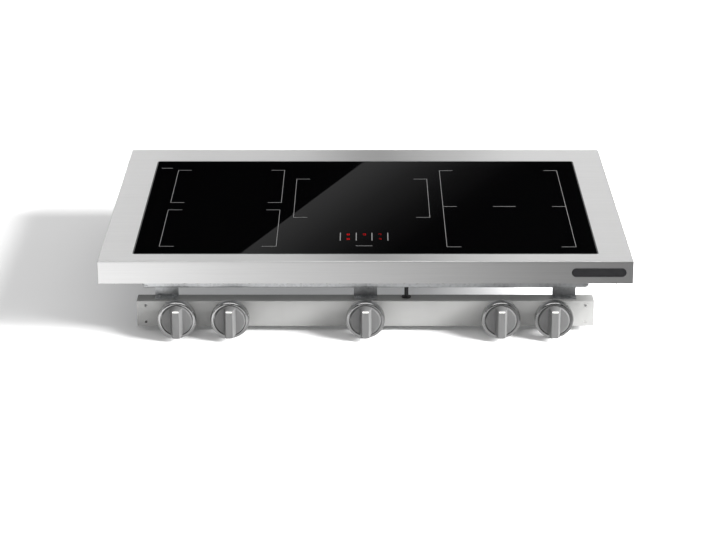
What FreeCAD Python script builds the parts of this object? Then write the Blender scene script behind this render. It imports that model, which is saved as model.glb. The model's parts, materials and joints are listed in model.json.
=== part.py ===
"""Built-in electric induction cooktop with remote control knobs, as a parametric FreeCAD document.

A folded stainless steel top carries a flush glass-ceramic plate. Below it hangs a sheet metal tray
with five coils, two power modules, two blowers, a mains filter and a level display. A control rail
hangs under the front of the tray. It holds five rotary encoders, whose knobs stand in front of the
cabinet's front panel, and the panel stands in the gap between the rail and the knob bezels.

Frame: +X to the right, +Y to the rear, +Z up. The origin is the centre of the seat plane, the
underside of the top's bottom flange, which rests on the cabinet. Lengths are in millimetres.
"""
import FreeCAD
import Part
import Sketcher
import math
import os
import re

V = FreeCAD.Vector
Z_AXIS, X_AXIS = V(0, 0, 1), V(1, 0, 0)

SIZES = [
    ("top_width", 900, "steel top: overall width"),
    ("top_depth", 635, "steel top: overall depth, front to wall"),
    ("top_height", 40, "steel top: height of the fascia, a worktop's thickness"),
    ("steel_gauge", 1.5, "steel top: sheet thickness"),
    ("fold_radius", 2.5, "steel top: outer radius of the folds and welded corners"),
    ("seat_width", 18, "bottom flange: width, the thickness of a cabinet side"),
    ("glass_width", 784, "glass: width"),
    ("glass_depth", 520, "glass: depth"),
    ("glass_shift", -20.5, "glass: centre, from the middle of the top's depth"),
    ("glass_gauge", 4, "glass: thickness"),
    ("glass_corner", 3, "glass: corner radius"),
    ("glass_edge", 0.6, "glass: ground bevel of the upper edge"),
    ("glass_sink", 0.2, "glass: depth of its surface below the steel"),
    ("seal_width", 2, "silicone seal: width of the visible joint"),
    ("seal_bed", 0.8, "silicone seal: thickness under the glass"),
    ("bed_inset", 2, "silicone seal: bed, back from the shelf's inner edge"),
    ("shelf_width", 14, "support frame: how far the shelf reaches under the glass"),
    ("lip_width", 14, "support frame: width of the flange welded under the steel"),
    ("tray_floor", -26, "tray: height of its underside"),
    ("tray_gauge", 1, "tray: sheet thickness"),
    ("wall_inset", 12, "tray: walls, in from the edge of the glass"),
    ("tray_bend", 3, "tray: outer radius of the bend round the floor"),
    ("flange_corner", 10, "tray: corner radius of the flange"),
    ("tray_corner", 6, "tray: corner radius"),
    ("bead_height", 1.5, "tray: height of the pressed stiffening beads"),
    ("bead_length", 560, "tray: length of the beads"),
    ("bead_width", 9, "tray: width of the beads"),
    ("bead_pitch", 38, "tray: distance between beads"),
    ("vent_pitch", 22, "tray: distance between the air slots of the front and rear walls"),
    ("vent_width", 5, "tray: width of an air slot"),
    ("vent_height", 18, "tray: height of an air slot"),
    ("vent_rise", 16, "tray: centre of the air slots, above the underside"),
    ("grille_radius", 32, "tray: radius of the air inlet grille under each blower"),
    ("grille_pitch", 8, "tray: distance between the slots of a grille"),
    ("grille_slot", 3.6, "tray: width of a grille slot"),
    ("wire_hole", 6, "tray and rail: radius of the holes for wires"),
    ("wire_side", 24, "tray: mains wire hole, left of the middle"),
    ("wire_rear", 15, "tray: mains wire hole, behind the terminal bay's front wall"),
    ("bolt_pitch", 130, "tray bolts: distance between those along the front and rear"),
    ("bolt_pitch_side", 150, "tray bolts: distance between those along the sides"),
    ("bolt_inset", 4, "tray bolts: in from the edge of the glass"),
    ("nut_across", 8, "tray bolts: nut, across its corners"),
    ("nut_height", 3, "tray bolts: height of the nut"),
    ("washer_radius", 4.6, "tray bolts: radius of the nut's washer"),
    ("washer_gauge", 1, "tray bolts: thickness of the nut's washer"),
    ("stud_radius", 2, "tray bolts: radius of the stud"),
    ("stud_end", 3, "tray bolts: length of stud below the nut"),
    ("module_centre", 255, "power modules and blowers: distance from the middle"),
    ("board_lift", 6, "circuit boards: height above the tray's floor"),
    ("board_gauge", 1.6, "circuit boards: thickness"),
    ("post_radius", 3, "circuit boards: radius of the posts"),
    ("power_half", 92, "power boards: half their width"),
    ("power_front", -200, "power boards: front edge"),
    ("power_rear", 88, "power boards: rear edge"),
    ("power_post_side", 84, "power boards: posts, from the board's middle"),
    ("power_post_inset", 10, "power boards: posts, in from the front and rear edges"),
    ("part_pitch", 44, "power boards: distance between capacitors"),
    ("can_radius", 13, "power boards: radius of an electrolytic capacitor"),
    ("can_height", 30, "power boards: height of an electrolytic capacitor"),
    ("can_inset", 28, "power boards: electrolytic capacitors, behind the front edge"),
    ("film_length", 28, "power boards: length of a film capacitor"),
    ("film_width", 18, "power boards: width of a film capacitor"),
    ("film_height", 22, "power boards: height of a film capacitor"),
    ("film_inset", 63, "power boards: film capacitors, behind the front edge"),
    ("relay_side", 72, "power boards: relays, from the board's middle"),
    ("relay_front", -86, "power boards: centre of the front relay"),
    ("relay_pitch", 40, "power boards: distance between relays"),
    ("relay_width", 20, "power boards: width of a relay"),
    ("relay_length", 28, "power boards: length of a relay"),
    ("relay_height", 16, "power boards: height of a relay"),
    ("sink_shift", -8, "heat sinks: centre, from the board's middle"),
    ("sink_rear", -12, "heat sinks: centre, rearwards"),
    ("sink_width", 92, "heat sinks: width"),
    ("sink_length", 176, "heat sinks: length"),
    ("sink_base", 4, "heat sinks: thickness of the base"),
    ("fin_height", 26, "heat sinks: height of the fins"),
    ("fin_gauge", 1.6, "heat sinks: thickness of the fins"),
    ("fin_inset", 0.2, "heat sinks: outer fins, in from the sides"),
    ("filter_half", 62, "filter board: half its width"),
    ("filter_front", -40, "filter board: front edge"),
    ("filter_rear", 130, "filter board: rear edge"),
    ("filter_post_side", 55, "filter board: posts, from the middle"),
    ("filter_post_inset", 8, "filter board: posts, in from the front and rear edges"),
    ("choke_side", 30, "filter board: chokes, left of the middle"),
    ("choke_front", -5, "filter board: centre of the front choke"),
    ("choke_pitch", 55, "filter board: distance between chokes"),
    ("choke_radius", 15, "filter board: middle radius of a choke"),
    ("choke_wire", 7, "filter board: radius of a choke's winding"),
    ("suppressor_side", 30, "filter board: suppressors, right of the middle"),
    ("suppressor_length", 40, "filter board: length of a suppressor"),
    ("suppressor_width", 22, "filter board: width of a suppressor"),
    ("suppressor_height", 24, "filter board: height of a suppressor"),
    ("mains_relay_side", 35, "filter board: mains relay, left of the middle"),
    ("mains_relay_rear", 102, "filter board: centre of the mains relay"),
    ("mains_relay_width", 30, "filter board: width of the mains relay"),
    ("mains_relay_height", 18, "filter board: height of the mains relay"),
    ("blower_rear", 150, "blowers: centre, rearwards"),
    ("blower_side", 110, "blowers: side of the housing"),
    ("blower_top", 5, "blowers: height of the housing's upper face"),
    ("blower_wall", 2, "blowers: wall thickness"),
    ("impeller_radius", 40, "blowers: impeller radius"),
    ("axle_radius", 2, "blowers: axle radius"),
    ("stator_radius", 12, "blowers: radius of the motor's stator"),
    ("stator_height", 15, "blowers: height of the motor's stator"),
    ("stator_rise", 5, "blowers: underside of the stator, above the tray's floor"),
    ("blower_corner", 14, "blowers: corner radius of the housing"),
    ("outlet_rise", 4, "blowers: underside of the outlet, above the tray's floor"),
    ("outlet_width", 64, "blowers: width of the outlet"),
    ("outlet_depth", 34, "blowers: depth of the outlet's cut"),
    ("outlet_height", 20, "blowers: height of the outlet"),
    ("outlet_shift", 10, "blowers: outlet, left of the axle"),
    ("outlet_setback", 12, "blowers: outlet's cut, behind the front wall"),
    ("impeller_rise", 3, "blowers: underside of the impeller, above the tray's floor"),
    ("impeller_plate", 2, "blowers: thickness of the impeller's plate"),
    ("hub_height", 15, "blowers: height of the impeller's hub below its plate"),
    ("magnet_gap", 0.8, "blowers: gap between the stator and the hub"),
    ("magnet_gauge", 1.6, "blowers: thickness of the hub"),
    ("rim_gauge", 1.5, "blowers: thickness of the impeller's lower rim"),
    ("blade_reach", 9, "blowers: radial length of a blade"),
    ("blade_inset", 1, "blowers: outer end of a blade, in from the rim"),
    ("blade_gauge", 1.2, "blowers: thickness of a blade"),
    ("blade_lean", 2.2, "blowers: half of how far a blade leans"),
    ("fit_gap", 0.05, "running clearance on a radius"),
    ("overcut", 5, "how far a cutting shape reaches past a face"),
    ("zone_front", -245, "cooking zones: front edge of the outer zones"),
    ("zone_rear", 185, "cooking zones: rear edge of the outer zones"),
    ("zone_left", -252, "cooking zones: centre of the left pair"),
    ("zone_middle", -7, "cooking zones: centre of the middle zone, sideways"),
    ("zone_middle_rear", 21, "cooking zones: centre of the middle zone, rearwards"),
    ("zone_right", 249, "cooking zones: centre of the right pair"),
    ("coil_level", 29.5, "coils: height of the underside of the windings"),
    ("coil_small", 88, "coils: outer radius of the left pair"),
    ("coil_medium", 96, "coils: outer radius of the right pair"),
    ("coil_large", 106, "coils: outer radius of the middle coil"),
    ("coil_inner", 24, "coils: inner radius"),
    ("litz_pitch", 5, "coils: diameter of a turn of litz wire"),
    ("former_gauge", 2, "coil formers: thickness"),
    ("former_rim", 3, "coil formers: rim beyond the winding"),
    ("former_eye", 8, "coil formers: radius of the hole for the sensor"),
    ("former_collar", 4, "coil formers: height of the collar inside the winding"),
    ("former_play", 2, "coil formers: gap between the collar and the winding"),
    ("ferrite_gauge", 5, "ferrite bars: thickness"),
    ("ferrite_width", 13, "ferrite bars: width"),
    ("ferrite_inset", 6, "ferrite bars: inner ends, out from the winding's hole"),
    ("ferrite_setback", 8, "ferrite bars: outer ends, in from the winding's rim"),
    ("sensor_radius", 5.5, "temperature sensors: radius of the tip"),
    ("sensor_stem", 3, "temperature sensors: radius of the stem"),
    ("sensor_drop", 8, "temperature sensors: stem below the carrier"),
    ("sensor_press", 0.6, "temperature sensors: tip above the shelf"),
    ("mica_gap", 0.2, "mica sheets: gap above the winding"),
    ("mica_gauge", 0.4, "mica sheets: thickness"),
    ("mica_rim", 1, "mica sheets: rim beyond the winding"),
    ("mica_hole", 7, "mica sheets: radius of the hole for the sensor"),
    ("carrier_gauge", 1.5, "coil carriers: sheet thickness"),
    ("carrier_edge", 9, "coil carriers: height of the turned-down edges"),
    ("carrier_corner", 8, "coil carriers: corner radius"),
    ("carrier_margin", 5, "coil carriers: front and rear edges, beyond the zones"),
    ("carrier_narrow", 224, "coil carriers: width of the left one"),
    ("carrier_wide", 236, "coil carriers: width of the others"),
    ("centre_setback", 45, "coil carriers: rear edge of the middle one, before the zones'"),
    ("window_small", 9, "coil carriers: radius of the hole under a sensor"),
    ("window_large", 14, "coil carriers: radius of the air holes"),
    ("window_offset", 50, "coil carriers: air holes, from the coil's centre"),
    ("pillar_radius", 3.5, "carrier pillars: radius"),
    ("pillar_inset", 8, "carrier pillars: in from the carrier's front and rear edges"),
    ("pillar_narrow", 104, "carrier pillars: half the distance across the left carrier"),
    ("pillar_wide", 110, "carrier pillars: half the distance across the others"),
    ("pillar_foot", 10, "carrier pillars: foot, across its corners"),
    ("pillar_foot_height", 4, "carrier pillars: height of the foot"),
    ("display_rear", -193, "level display: centre, rearwards"),
    ("digit_pitch", 27.3, "level display: distance between columns"),
    ("display_shift", 4.5, "level display: centre, right of the middle zone's"),
    ("display_width", 124, "level display: width of the board"),
    ("display_depth", 56, "level display: depth of the board"),
    ("display_lift", 2.5, "level display: height of the board above the carrier"),
    ("display_post", 2.5, "level display: radius of the posts"),
    ("display_inset", 6, "level display: posts, in from the board's edges"),
    ("digit_rise", 12, "level display: rows of digits, from the middle"),
    ("digit_width", 12, "level display: width of a digit"),
    ("digit_depth", 18, "level display: depth of a digit"),
    ("digit_height", 7, "level display: height of a digit"),
    ("panel_setback", 22, "cabinet front panel: its face, behind the fascia"),
    ("panel_gap", 20, "cabinet front panel: gap between bezels and rail"),
    ("knob_drop", 70.5, "knobs: height of their axes below the seat plane"),
    ("knob_inner", 230, "knobs: inner pair, from the middle"),
    ("knob_outer", 320, "knobs: outer pair, from the middle"),
    ("knob_radius", 26, "knobs: radius of the skirt"),
    ("knob_back", 4, "knobs: rear edge of the skirt, in front of the panel"),
    ("knob_face", 15, "knobs: face of the skirt, in front of the panel"),
    ("knob_rim", 1.6, "knobs: bevel of the skirt's rim"),
    ("grip_width", 20.5, "knobs: width of the grip at its base"),
    ("grip_height", 18, "knobs: height of the grip above the skirt"),
    ("grip_crest", 12, "knobs: width of the grip at its front face"),
    ("grip_reach", 25.4, "knobs: radius of the grip's rounded ends"),
    ("grip_root", 0.5, "knobs: depth of the grip inside the skirt"),
    ("grip_round", 0.9, "knobs: radius of the grip's front edges"),
    ("mark_height", 22.6, "knobs: height of the white mark above the axis"),
    ("mark_length", 10, "knobs: length of the white mark"),
    ("mark_width", 2, "knobs: width of the white mark"),
    ("mark_depth", 0.4, "knobs: depth of the groove that the mark fills"),
    ("mark_play", 0.02, "knobs: gap around the mark in its groove"),
    ("mark_proud", 0.05, "knobs: how far the mark stands proud of the grip"),
    ("dot_radius", 0.8, "knobs: radius of the dimple under the mark"),
    ("dot_drop", 7, "knobs: distance from the mark to the dimple"),
    ("skirt_wall", 2, "knobs: thickness of the skirt's side"),
    ("skirt_face", 3, "knobs: thickness of the skirt's face"),
    ("hub_radius", 7, "knobs: radius of the hub around the shaft"),
    ("hub_depth", 20, "knobs: depth of the bore for the shaft"),
    ("bore_play", 0.02, "knobs: clearance of the bore around the shaft"),
    ("bezel_radius", 33, "bezels: outer radius"),
    ("bezel_depth", 13, "bezels: depth"),
    ("bezel_round", 4.6, "bezels: radius of the outer front edge"),
    ("bezel_break", 0.6, "bezels: bevel of the inner front edge"),
    ("bezel_seat", 27.2, "bezels: radius of the recess around the knob's skirt"),
    ("bezel_floor", 3, "bezels: thickness of the floor of the recess"),
    ("spacer_radius", 17, "spacers: outer radius, the hole in the panel"),
    ("spacer_wall", 3, "spacers: wall thickness"),
    ("spacer_floor", 2, "spacers: thickness of the floor at the rail"),
    ("bushing_radius", 5, "encoders: radius of the threaded bushing"),
    ("bushing_reach", 8, "encoders: length of the bushing in front of the rail's rear face"),
    ("bushing_play", 0.1, "encoders: clearance of the bushing in its holes"),
    ("key_width", 2.2, "encoders: side of the key that stops the housing turning"),
    ("key_reach", 1.4, "encoders: length of the key"),
    ("pin_pitch", 4, "encoders: distance between pins"),
    ("pin_width", 1, "encoders: width of a pin"),
    ("pin_gauge", 0.8, "encoders: thickness of a pin"),
    ("pin_length", 4, "encoders: length of a pin"),
    ("way_floor", 3, "encoders: wall behind the shaft's bore"),
    ("locknut_across", 15, "encoders: nut, across its corners"),
    ("locknut_height", 2.5, "encoders: height of the nut"),
    ("encoder_side", 26, "encoders: side of the square housing"),
    ("encoder_depth", 13, "encoders: depth of the housing"),
    ("shaft_radius", 3, "shafts: radius"),
    ("shaft_flat", 1.6, "shafts: distance of the flat from the axis"),
    ("shaft_seat", 0.2, "shafts: gap to the wall behind the encoder's bore"),
    ("flat_start", 3.5, "shafts: start of the flat, in front of the panel"),
    ("shaft_tip", 0.2, "shafts: gap to the end of the knob's bore"),
    ("rail_length", 780, "control rail: length"),
    ("rail_height", 46, "control rail: height"),
    ("rail_depth", 32, "control rail: depth"),
    ("rail_gauge", 1.5, "control rail: sheet thickness"),
    ("rail_lip", 6, "control rail: height of the rear lips"),
    ("rail_bend", 1.2, "control rail: outer radius of the bends"),
    ("key_size", 2.4, "control rail: side of the hole for an encoder's key"),
    ("key_drop", 9.5, "control rail: key holes, below the axes"),
    ("lid_gauge", 1, "rail cover: thickness"),
    ("lid_inset", 2, "rail cover: gap at each end of the rail"),
    ("lid_play", 0.3, "rail cover: gap above and below"),
    ("cable_side", 70, "control cable: right of the middle"),
    ("cable_set", 20, "control cable: behind the rail's face"),
    ("cable_radius", 3.5, "control cable: radius"),
    ("cable_tail", 30, "control cable: length inside the rail"),
    ("cable_head", 12, "control cable: length inside the tray"),
    ("grommet_neck", 5.8, "grommets: radius in the hole"),
    ("grommet_lip", 8, "grommets: radius of the lips"),
    ("lip_gauge", 1.5, "grommets: thickness of the lips"),
    ("panel_screw_side", 375, "control rail: panel screw holes, from the middle"),
    ("panel_screw_rise", 15, "control rail: panel screw holes, above and below the axes"),
    ("panel_screw_radius", 2.25, "control rail: radius of a panel screw hole"),
    ("hanger_side", 340, "rail hangers: outer pair, from the middle"),
    ("hanger_half", 20, "rail hangers: half their width"),
    ("hanger_heel", 24, "rail hangers: upright, behind the rail's face"),
    ("hanger_arm", 22, "rail hangers: depth of the upper arm"),
    ("hanger_foot", 16, "rail hangers: depth of the lower arm"),
    ("hanger_bolt", 3.4, "rail hangers: radius of a screw's head"),
    ("bolt_head", 2.2, "rail hangers: height of a screw's head"),
    ("bolt_side", 12, "rail hangers: screws, from the hanger's middle"),
    ("upper_bolt", 12, "rail hangers: upper screws, behind the upright"),
    ("lower_bolt", 8, "rail hangers: lower screws, ahead of the upright"),
    ("bracket_rear", 220, "fixing brackets: distance from the middle, to front and rear"),
    ("bracket_half", 20, "fixing brackets: half their width"),
    ("bracket_reach", 14, "fixing brackets: width of the foot on the flange"),
    ("bracket_foot", -30, "fixing brackets: height of the lower edge"),
    ("bracket_hole_level", -15, "fixing brackets: height of the screw hole"),
    ("bracket_hole_radius", 2.5, "fixing brackets: radius of the screw hole"),
    ("rivet_radius", 2.6, "fixing brackets: radius of a rivet's head"),
    ("rivet_head", 1.2, "fixing brackets: height of a rivet's head"),
    ("rivet_half_pitch", 12, "fixing brackets: rivets, from the middle of the bracket"),
    ("bay_half", 45, "terminal bay: half its width"),
    ("bay_front", 165, "terminal bay: front wall"),
    ("bay_rear", 238, "terminal bay: rear edge"),
    ("bay_floor", -52, "terminal bay: height of the underside"),
    ("bay_wall", 2, "terminal bay: wall thickness"),
    ("ear_gauge", 2.2, "terminal bay: thickness of the hinge ears"),
    ("ear_front", 10, "terminal bay: hinge ears, ahead of the bay's rear edge"),
    ("ear_reach", 4, "terminal bay: hinge ears, behind the hinge"),
    ("ear_drop", 5, "terminal bay: hinge ears, below the hinge"),
    ("block_left", -32, "terminal block: left end"),
    ("block_right", 28, "terminal block: right end"),
    ("block_setback", 24, "terminal block: behind the bay's front wall"),
    ("block_depth", 20, "terminal block: depth"),
    ("block_height", 12, "terminal block: height"),
    ("well_side", -26, "terminal block: first screw well"),
    ("well_pitch", 12, "terminal block: distance between screw wells"),
    ("well_radius", 3.4, "terminal block: radius of a screw well"),
    ("well_floor", 6, "terminal block: thickness behind a screw well"),
    ("screw_radius", 2.8, "terminal block: radius of a screw"),
    ("screw_height", 3, "terminal block: height of a screw's head"),
    ("hinge_rear", 240.2, "terminal cover: hinge axis, rearwards"),
    ("hinge_level", -30.5, "terminal cover: height of the hinge axis"),
    ("hinge_radius", 1.5, "terminal cover: radius of the hinge pins"),
    ("cover_play", 0.5, "terminal cover: gap at each end"),
    ("cover_gap", 0.2, "terminal cover: gap to the bay's rear edge and floor"),
    ("pin_reach", 2, "terminal cover: length of a hinge pin"),
    ("tab_half", 8, "terminal cover: half the width of the finger tab"),
    ("tab_gauge", 1.5, "terminal cover: how far the finger tab stands out"),
    ("tab_height", 2.8, "terminal cover: height of the finger tab"),
    ("gland_rear", 200, "cable gland: its axis, rearwards"),
    ("gland_level", -39, "cable gland: height of its axis"),
    ("gland_bore", 6.5, "cable gland: radius of the bore"),
    ("gland_thread", 10, "cable gland: radius of the thread"),
    ("gland_play", 0.1, "cable gland: clearance in the bay's wall"),
    ("gland_reach", 6, "cable gland: thread inside the bay"),
    ("gland_collar", 13, "cable gland: radius of the collar"),
    ("collar_gauge", 4, "cable gland: thickness of the collar"),
    ("gland_cap", 11.5, "cable gland: radius of the cap"),
    ("cap_length", 12, "cable gland: length of the cap"),
    ("badge_side", 392, "badge: its centre, from the middle"),
    ("badge_level", 19.5, "badge: height of its centre"),
    ("badge_length", 92, "badge: length"),
    ("badge_height", 15, "badge: height"),
    ("badge_gauge", 1, "badge: thickness"),
    ("badge_bevel", 0.3, "badge: bevel of its front edges"),
]
ALIASES = {alias for alias, _, _ in SIZES}
VENTS, BEADS, GRILLE_SLOTS = 31, 4, 7
FERRITES, SINK_FINS, BLADES = 8, 13, 24
LITZ_GROOVE = 0.35  # where neighbouring turns of wire meet, as a share of their radius
HAIR = 0.01  # a gap that no one sees, in millimetres
KNOBS = [  # the zone that each knob controls, and where its axis is
    ("left_rear", "-knob_outer"),
    ("left_front", "-knob_inner"),
    ("centre", "0"),
    ("right_rear", "knob_inner"),
    ("right_front", "knob_outer"),
]
COILS = [  # zone, centre x, centre y, outer radius
    ("left_rear", "zone_left", "zone_rear - 97", "coil_small"),
    ("left_front", "zone_left", "zone_front + 97", "coil_small"),
    ("centre", "zone_middle", "zone_middle_rear", "coil_large"),
    ("right_rear", "zone_right", "zone_rear - 107", "coil_medium"),
    ("right_front", "zone_right", "zone_front + 107", "coil_medium"),
]
# Heights that several pieces share.
SHELF_TOP = "top_height - glass_sink - glass_gauge - seal_bed"
SHELF_UNDER = f"{SHELF_TOP} - steel_gauge"
TRAY_WIDTH = "glass_width - 2 * wall_inset"
TRAY_DEPTH = "glass_depth - 2 * wall_inset"
TRAY_INSIDE = "tray_floor + tray_gauge"
CARRIER_TOP = "coil_level - former_gauge - ferrite_gauge"
BOARD_UNDER = f"{TRAY_INSIDE} + board_lift"
BOARD_TOP = f"{BOARD_UNDER} + board_gauge"
WIRE_HOLE = ("-wire_side", "bay_front + wire_rear")
PANEL_FACE = "-top_depth / 2 + panel_setback"
RAIL_FRONT = f"{PANEL_FACE} + panel_gap"
RAIL_TOP = "-knob_drop + rail_height / 2"
CABLE_SIDE, CABLE_REAR = "cable_side", f"{RAIL_FRONT} + cable_set"

doc = FreeCAD.newDocument("induction_cooktop")
dims = doc.addObject("Spreadsheet::Sheet", "dims")
for row, (alias, size_mm, note) in enumerate(SIZES, start=1):
    dims.set(f"A{row}", note)
    dims.set(f"B{row}", str(size_mm))
    dims.setAlias(f"B{row}", alias)
doc.recompute()
subparts = []


# ---- sizes, placement and primitives -------------------------------------------------------------
def cells(text):
    """The text as a FreeCAD expression, with each alias read from the sheet."""
    return re.sub(r"[a-z_]+", lambda m: "dims." + m[0] if m[0] in ALIASES else m[0], text)


def size(text):
    """What an expression is worth now."""
    return float(dims.evalExpression(cells(text)))


def bind(obj, prop, text):
    obj.setExpression(prop, cells(text))


def move(obj, x="0", y="0", z="0", rotation=None):
    if rotation is not None:
        obj.Placement = FreeCAD.Placement(V(), rotation)
    for axis, text in zip("xyz", (x, y, z)):
        bind(obj, "Placement.Base." + axis, text)
    return obj


def publish(obj, label):
    """Makes obj a sub-part: its label names its file."""
    obj.Label = label
    subparts.append(obj)
    return obj


def box(name, x, y, z):
    """A block between pairs of (low, high) along each axis."""
    obj = doc.addObject("Part::Box", name)
    for prop, axis, (low, high) in zip(("Length", "Width", "Height"), "xyz", (x, y, z)):
        bind(obj, prop, f"({high}) - ({low})")
        bind(obj, "Placement.Base." + axis, low)
    return obj


def rod(name, radius, x, y, z):
    """A cylinder: the coordinate that is a (low, high) pair is its axis."""
    obj = doc.addObject("Part::Cylinder", name)
    bind(obj, "Radius", radius)
    spans = {axis: v for axis, v in zip("xyz", (x, y, z)) if isinstance(v, tuple)}
    (along, (low, high)), = spans.items()
    turn = {
        "x": FreeCAD.Rotation(V(0, 1, 0), 90),
        "y": FreeCAD.Rotation(X_AXIS, -90),
        "z": FreeCAD.Rotation(),
    }[along]
    bind(obj, "Height", f"({high}) - ({low})")
    start = [low if isinstance(v, tuple) else v for v in (x, y, z)]
    return move(obj, *start, rotation=turn)


def hexagon(name, across, z, x="0", y="0"):
    """A hexagonal prism along Z, measured across its corners."""
    obj = doc.addObject("Part::Prism", name)
    obj.Polygon = 6
    bind(obj, "Circumradius", f"({across}) / 2")
    bind(obj, "Height", f"({z[1]}) - ({z[0]})")
    return move(obj, x, y, z[0])


def fuse(name, *parts):
    obj = doc.addObject("Part::MultiFuse", name)
    obj.Shapes = list(parts)
    return obj


def cut(name, base, *tools):
    obj = doc.addObject("Part::Cut", name)
    obj.Base = base
    obj.Tool = tools[0] if len(tools) == 1 else fuse(name + "_tools", *tools)
    return obj


def group(name, parts):
    """Separate identical solids that share one node."""
    obj = doc.addObject("Part::Compound", name)
    obj.Links = list(parts)
    return obj


# ---- sketches and features -----------------------------------------------------------------------
def new_body(name):
    return doc.addObject("PartDesign::Body", name)


def sketch(body, name, plane="XY_Plane", offset=None):
    """A sketch on one of the body's own origin planes, moved along its normal by offset."""
    made = body.newObject("Sketcher::SketchObject", name)
    support = [f for f in body.Origin.OriginFeatures if f.Role == plane][0]
    made.AttachmentSupport = [(support, "")]
    made.MapMode = "FlatFace"
    if offset is not None:
        bind(made, "AttachmentOffset.Base.z", offset)
    return made


def datum(made, kind, text, *where):
    """A dimension of a sketch that follows the sheet."""
    index = made.addConstraint(Sketcher.Constraint(kind, *where, size(text)))
    bind(made, f"Constraints[{index}]", text)


def locate(made, geometry, point, x, y):
    """Fixes a point of a sketch: on an axis where a coordinate is 0, else at a distance from it."""
    for text, kind, axis in ((x, "DistanceX", -2), (y, "DistanceY", -1)):
        if abs(size(text)) < HAIR / 1000:
            made.addConstraint(Sketcher.Constraint("PointOnObject", geometry, point, axis))
        else:
            datum(made, kind, text, -1, 1, geometry, point)


def polygon(made, points):
    """A closed outline of straight lines through (x, y) pairs."""
    spots = [V(size(x), size(y), 0) for x, y in points]
    count = len(spots)
    lines = [
        made.addGeometry(Part.LineSegment(spots[i], spots[(i + 1) % count])) for i in range(count)
    ]
    for i in range(count):
        made.addConstraint(
            Sketcher.Constraint("Coincident", lines[i], 2, lines[(i + 1) % count], 1)
        )
        locate(made, lines[i], 1, *points[i])


def rectangle(made, width, depth, x="0", y="0"):
    left, right = f"{x} - ({width}) / 2", f"{x} + ({width}) / 2"
    low, high = f"{y} - ({depth}) / 2", f"{y} + ({depth}) / 2"
    polygon(made, [(left, low), (right, low), (right, high), (left, high)])


def rounded(made, width, depth, radius, x="0", y="0"):
    """A rectangle with round corners."""
    r = size(radius)
    half_w, half_d = size(width) / 2, size(depth) / 2
    middle = V(size(x), size(y), 0)
    arcs = []
    for quarter, (sx, sy) in enumerate(((1, -1), (1, 1), (-1, 1), (-1, -1))):
        centre = middle + V(sx * (half_w - r), sy * (half_d - r), 0)
        start = (quarter - 1) * math.pi / 2
        arc = Part.ArcOfCircle(Part.Circle(centre, Z_AXIS, r), start, start + math.pi / 2)
        arcs.append(made.addGeometry(arc))
        reach_x = f"{x} + {sx} * (({width}) / 2 - ({radius}))"
        reach_y = f"{y} + {sy} * (({depth}) / 2 - ({radius}))"
        locate(made, arcs[-1], 3, reach_x, reach_y)
        datum(made, "Radius", radius, arcs[-1])
    for i in range(4):
        first, second = made.Geometry[arcs[i]], made.Geometry[arcs[(i + 1) % 4]]
        line = made.addGeometry(Part.LineSegment(first.EndPoint, second.StartPoint))
        made.addConstraint(Sketcher.Constraint("Tangent", arcs[i], 2, line, 1))
        made.addConstraint(Sketcher.Constraint("Tangent", line, 2, arcs[(i + 1) % 4], 1))


def circle(made, radius, x="0", y="0"):
    ring = made.addGeometry(Part.Circle(V(size(x), size(y), 0), Z_AXIS, size(radius)))
    locate(made, ring, 3, x, y)
    datum(made, "Radius", radius, ring)


def flatted_circle(made, radius, flat):
    """The D of a shaft: a circle about the origin, cut by a flat above it."""
    r, level = size(radius), size(flat)
    start = math.asin(level / r)
    arc = Part.ArcOfCircle(Part.Circle(V(), Z_AXIS, r), math.pi - start, 2 * math.pi + start)
    round_side = made.addGeometry(arc)
    line = made.addGeometry(Part.LineSegment(arc.EndPoint, arc.StartPoint))
    made.addConstraint(Sketcher.Constraint("Coincident", round_side, 3, -1, 1))
    datum(made, "Radius", radius, round_side)
    made.addConstraint(Sketcher.Constraint("Coincident", round_side, 2, line, 1))
    made.addConstraint(Sketcher.Constraint("Coincident", line, 2, round_side, 1))
    made.addConstraint(Sketcher.Constraint("Horizontal", line))
    datum(made, "DistanceY", flat, -1, 1, line, 1)


def pad(body, profile, length, both_ways=False):
    made = body.newObject("PartDesign::Pad", profile.Name + "_pad")
    made.Profile = profile
    bind(made, "Length", length)
    made.Midplane = both_ways
    return made


def pocket(body, profile, length=None, upwards=False, both_ways=False):
    """Cuts the profile: to a depth, or through everything when no length is given."""
    made = body.newObject("PartDesign::Pocket", profile.Name + "_pocket")
    made.Profile = profile
    made.Reversed = upwards
    made.Midplane = both_ways
    if length is None:
        made.Type = "ThroughAll"
    else:
        bind(made, "Length", length)
    return made


def revolve(body, profile):
    """Turns a profile drawn on the XZ plane about the body's Z axis."""
    made = body.newObject("PartDesign::Revolution", profile.Name + "_turned")
    made.Profile = profile
    made.ReferenceAxis = (profile, ["V_Axis"])
    made.Angle = 360
    return made


def dress(body, kind, name, base, prop, text, chosen):
    """A fillet or chamfer of the edges of base that chosen(edge) picks."""
    doc.recompute()
    names = [f"Edge{i}" for i, e in enumerate(base.Shape.Edges, start=1) if chosen(e)]
    made = body.newObject("PartDesign::" + kind, name)
    made.Base = (base, names)
    bind(made, prop, text)
    return made


def repeat(body, feature, profile, axis, length, count):
    """Repeats a feature along an axis of its sketch, over a total length."""
    made = body.newObject("PartDesign::LinearPattern", feature.Name + "_row")
    made.Originals = [feature]
    made.Direction = (profile, [axis])
    bind(made, "Length", length)
    made.Occurrences = count
    body.Tip = made
    return made


def upright(edge):
    return edge.BoundBox.XLength < HAIR and edge.BoundBox.YLength < HAIR


def at_level(edge, level):
    return abs(edge.BoundBox.ZMin - level) < HAIR and abs(edge.BoundBox.ZMax - level) < HAIR


def round_end(width):
    """The corner radius of a slot with round ends, a hair under half its width."""
    return f"({width}) / 2 - {HAIR}"


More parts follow.
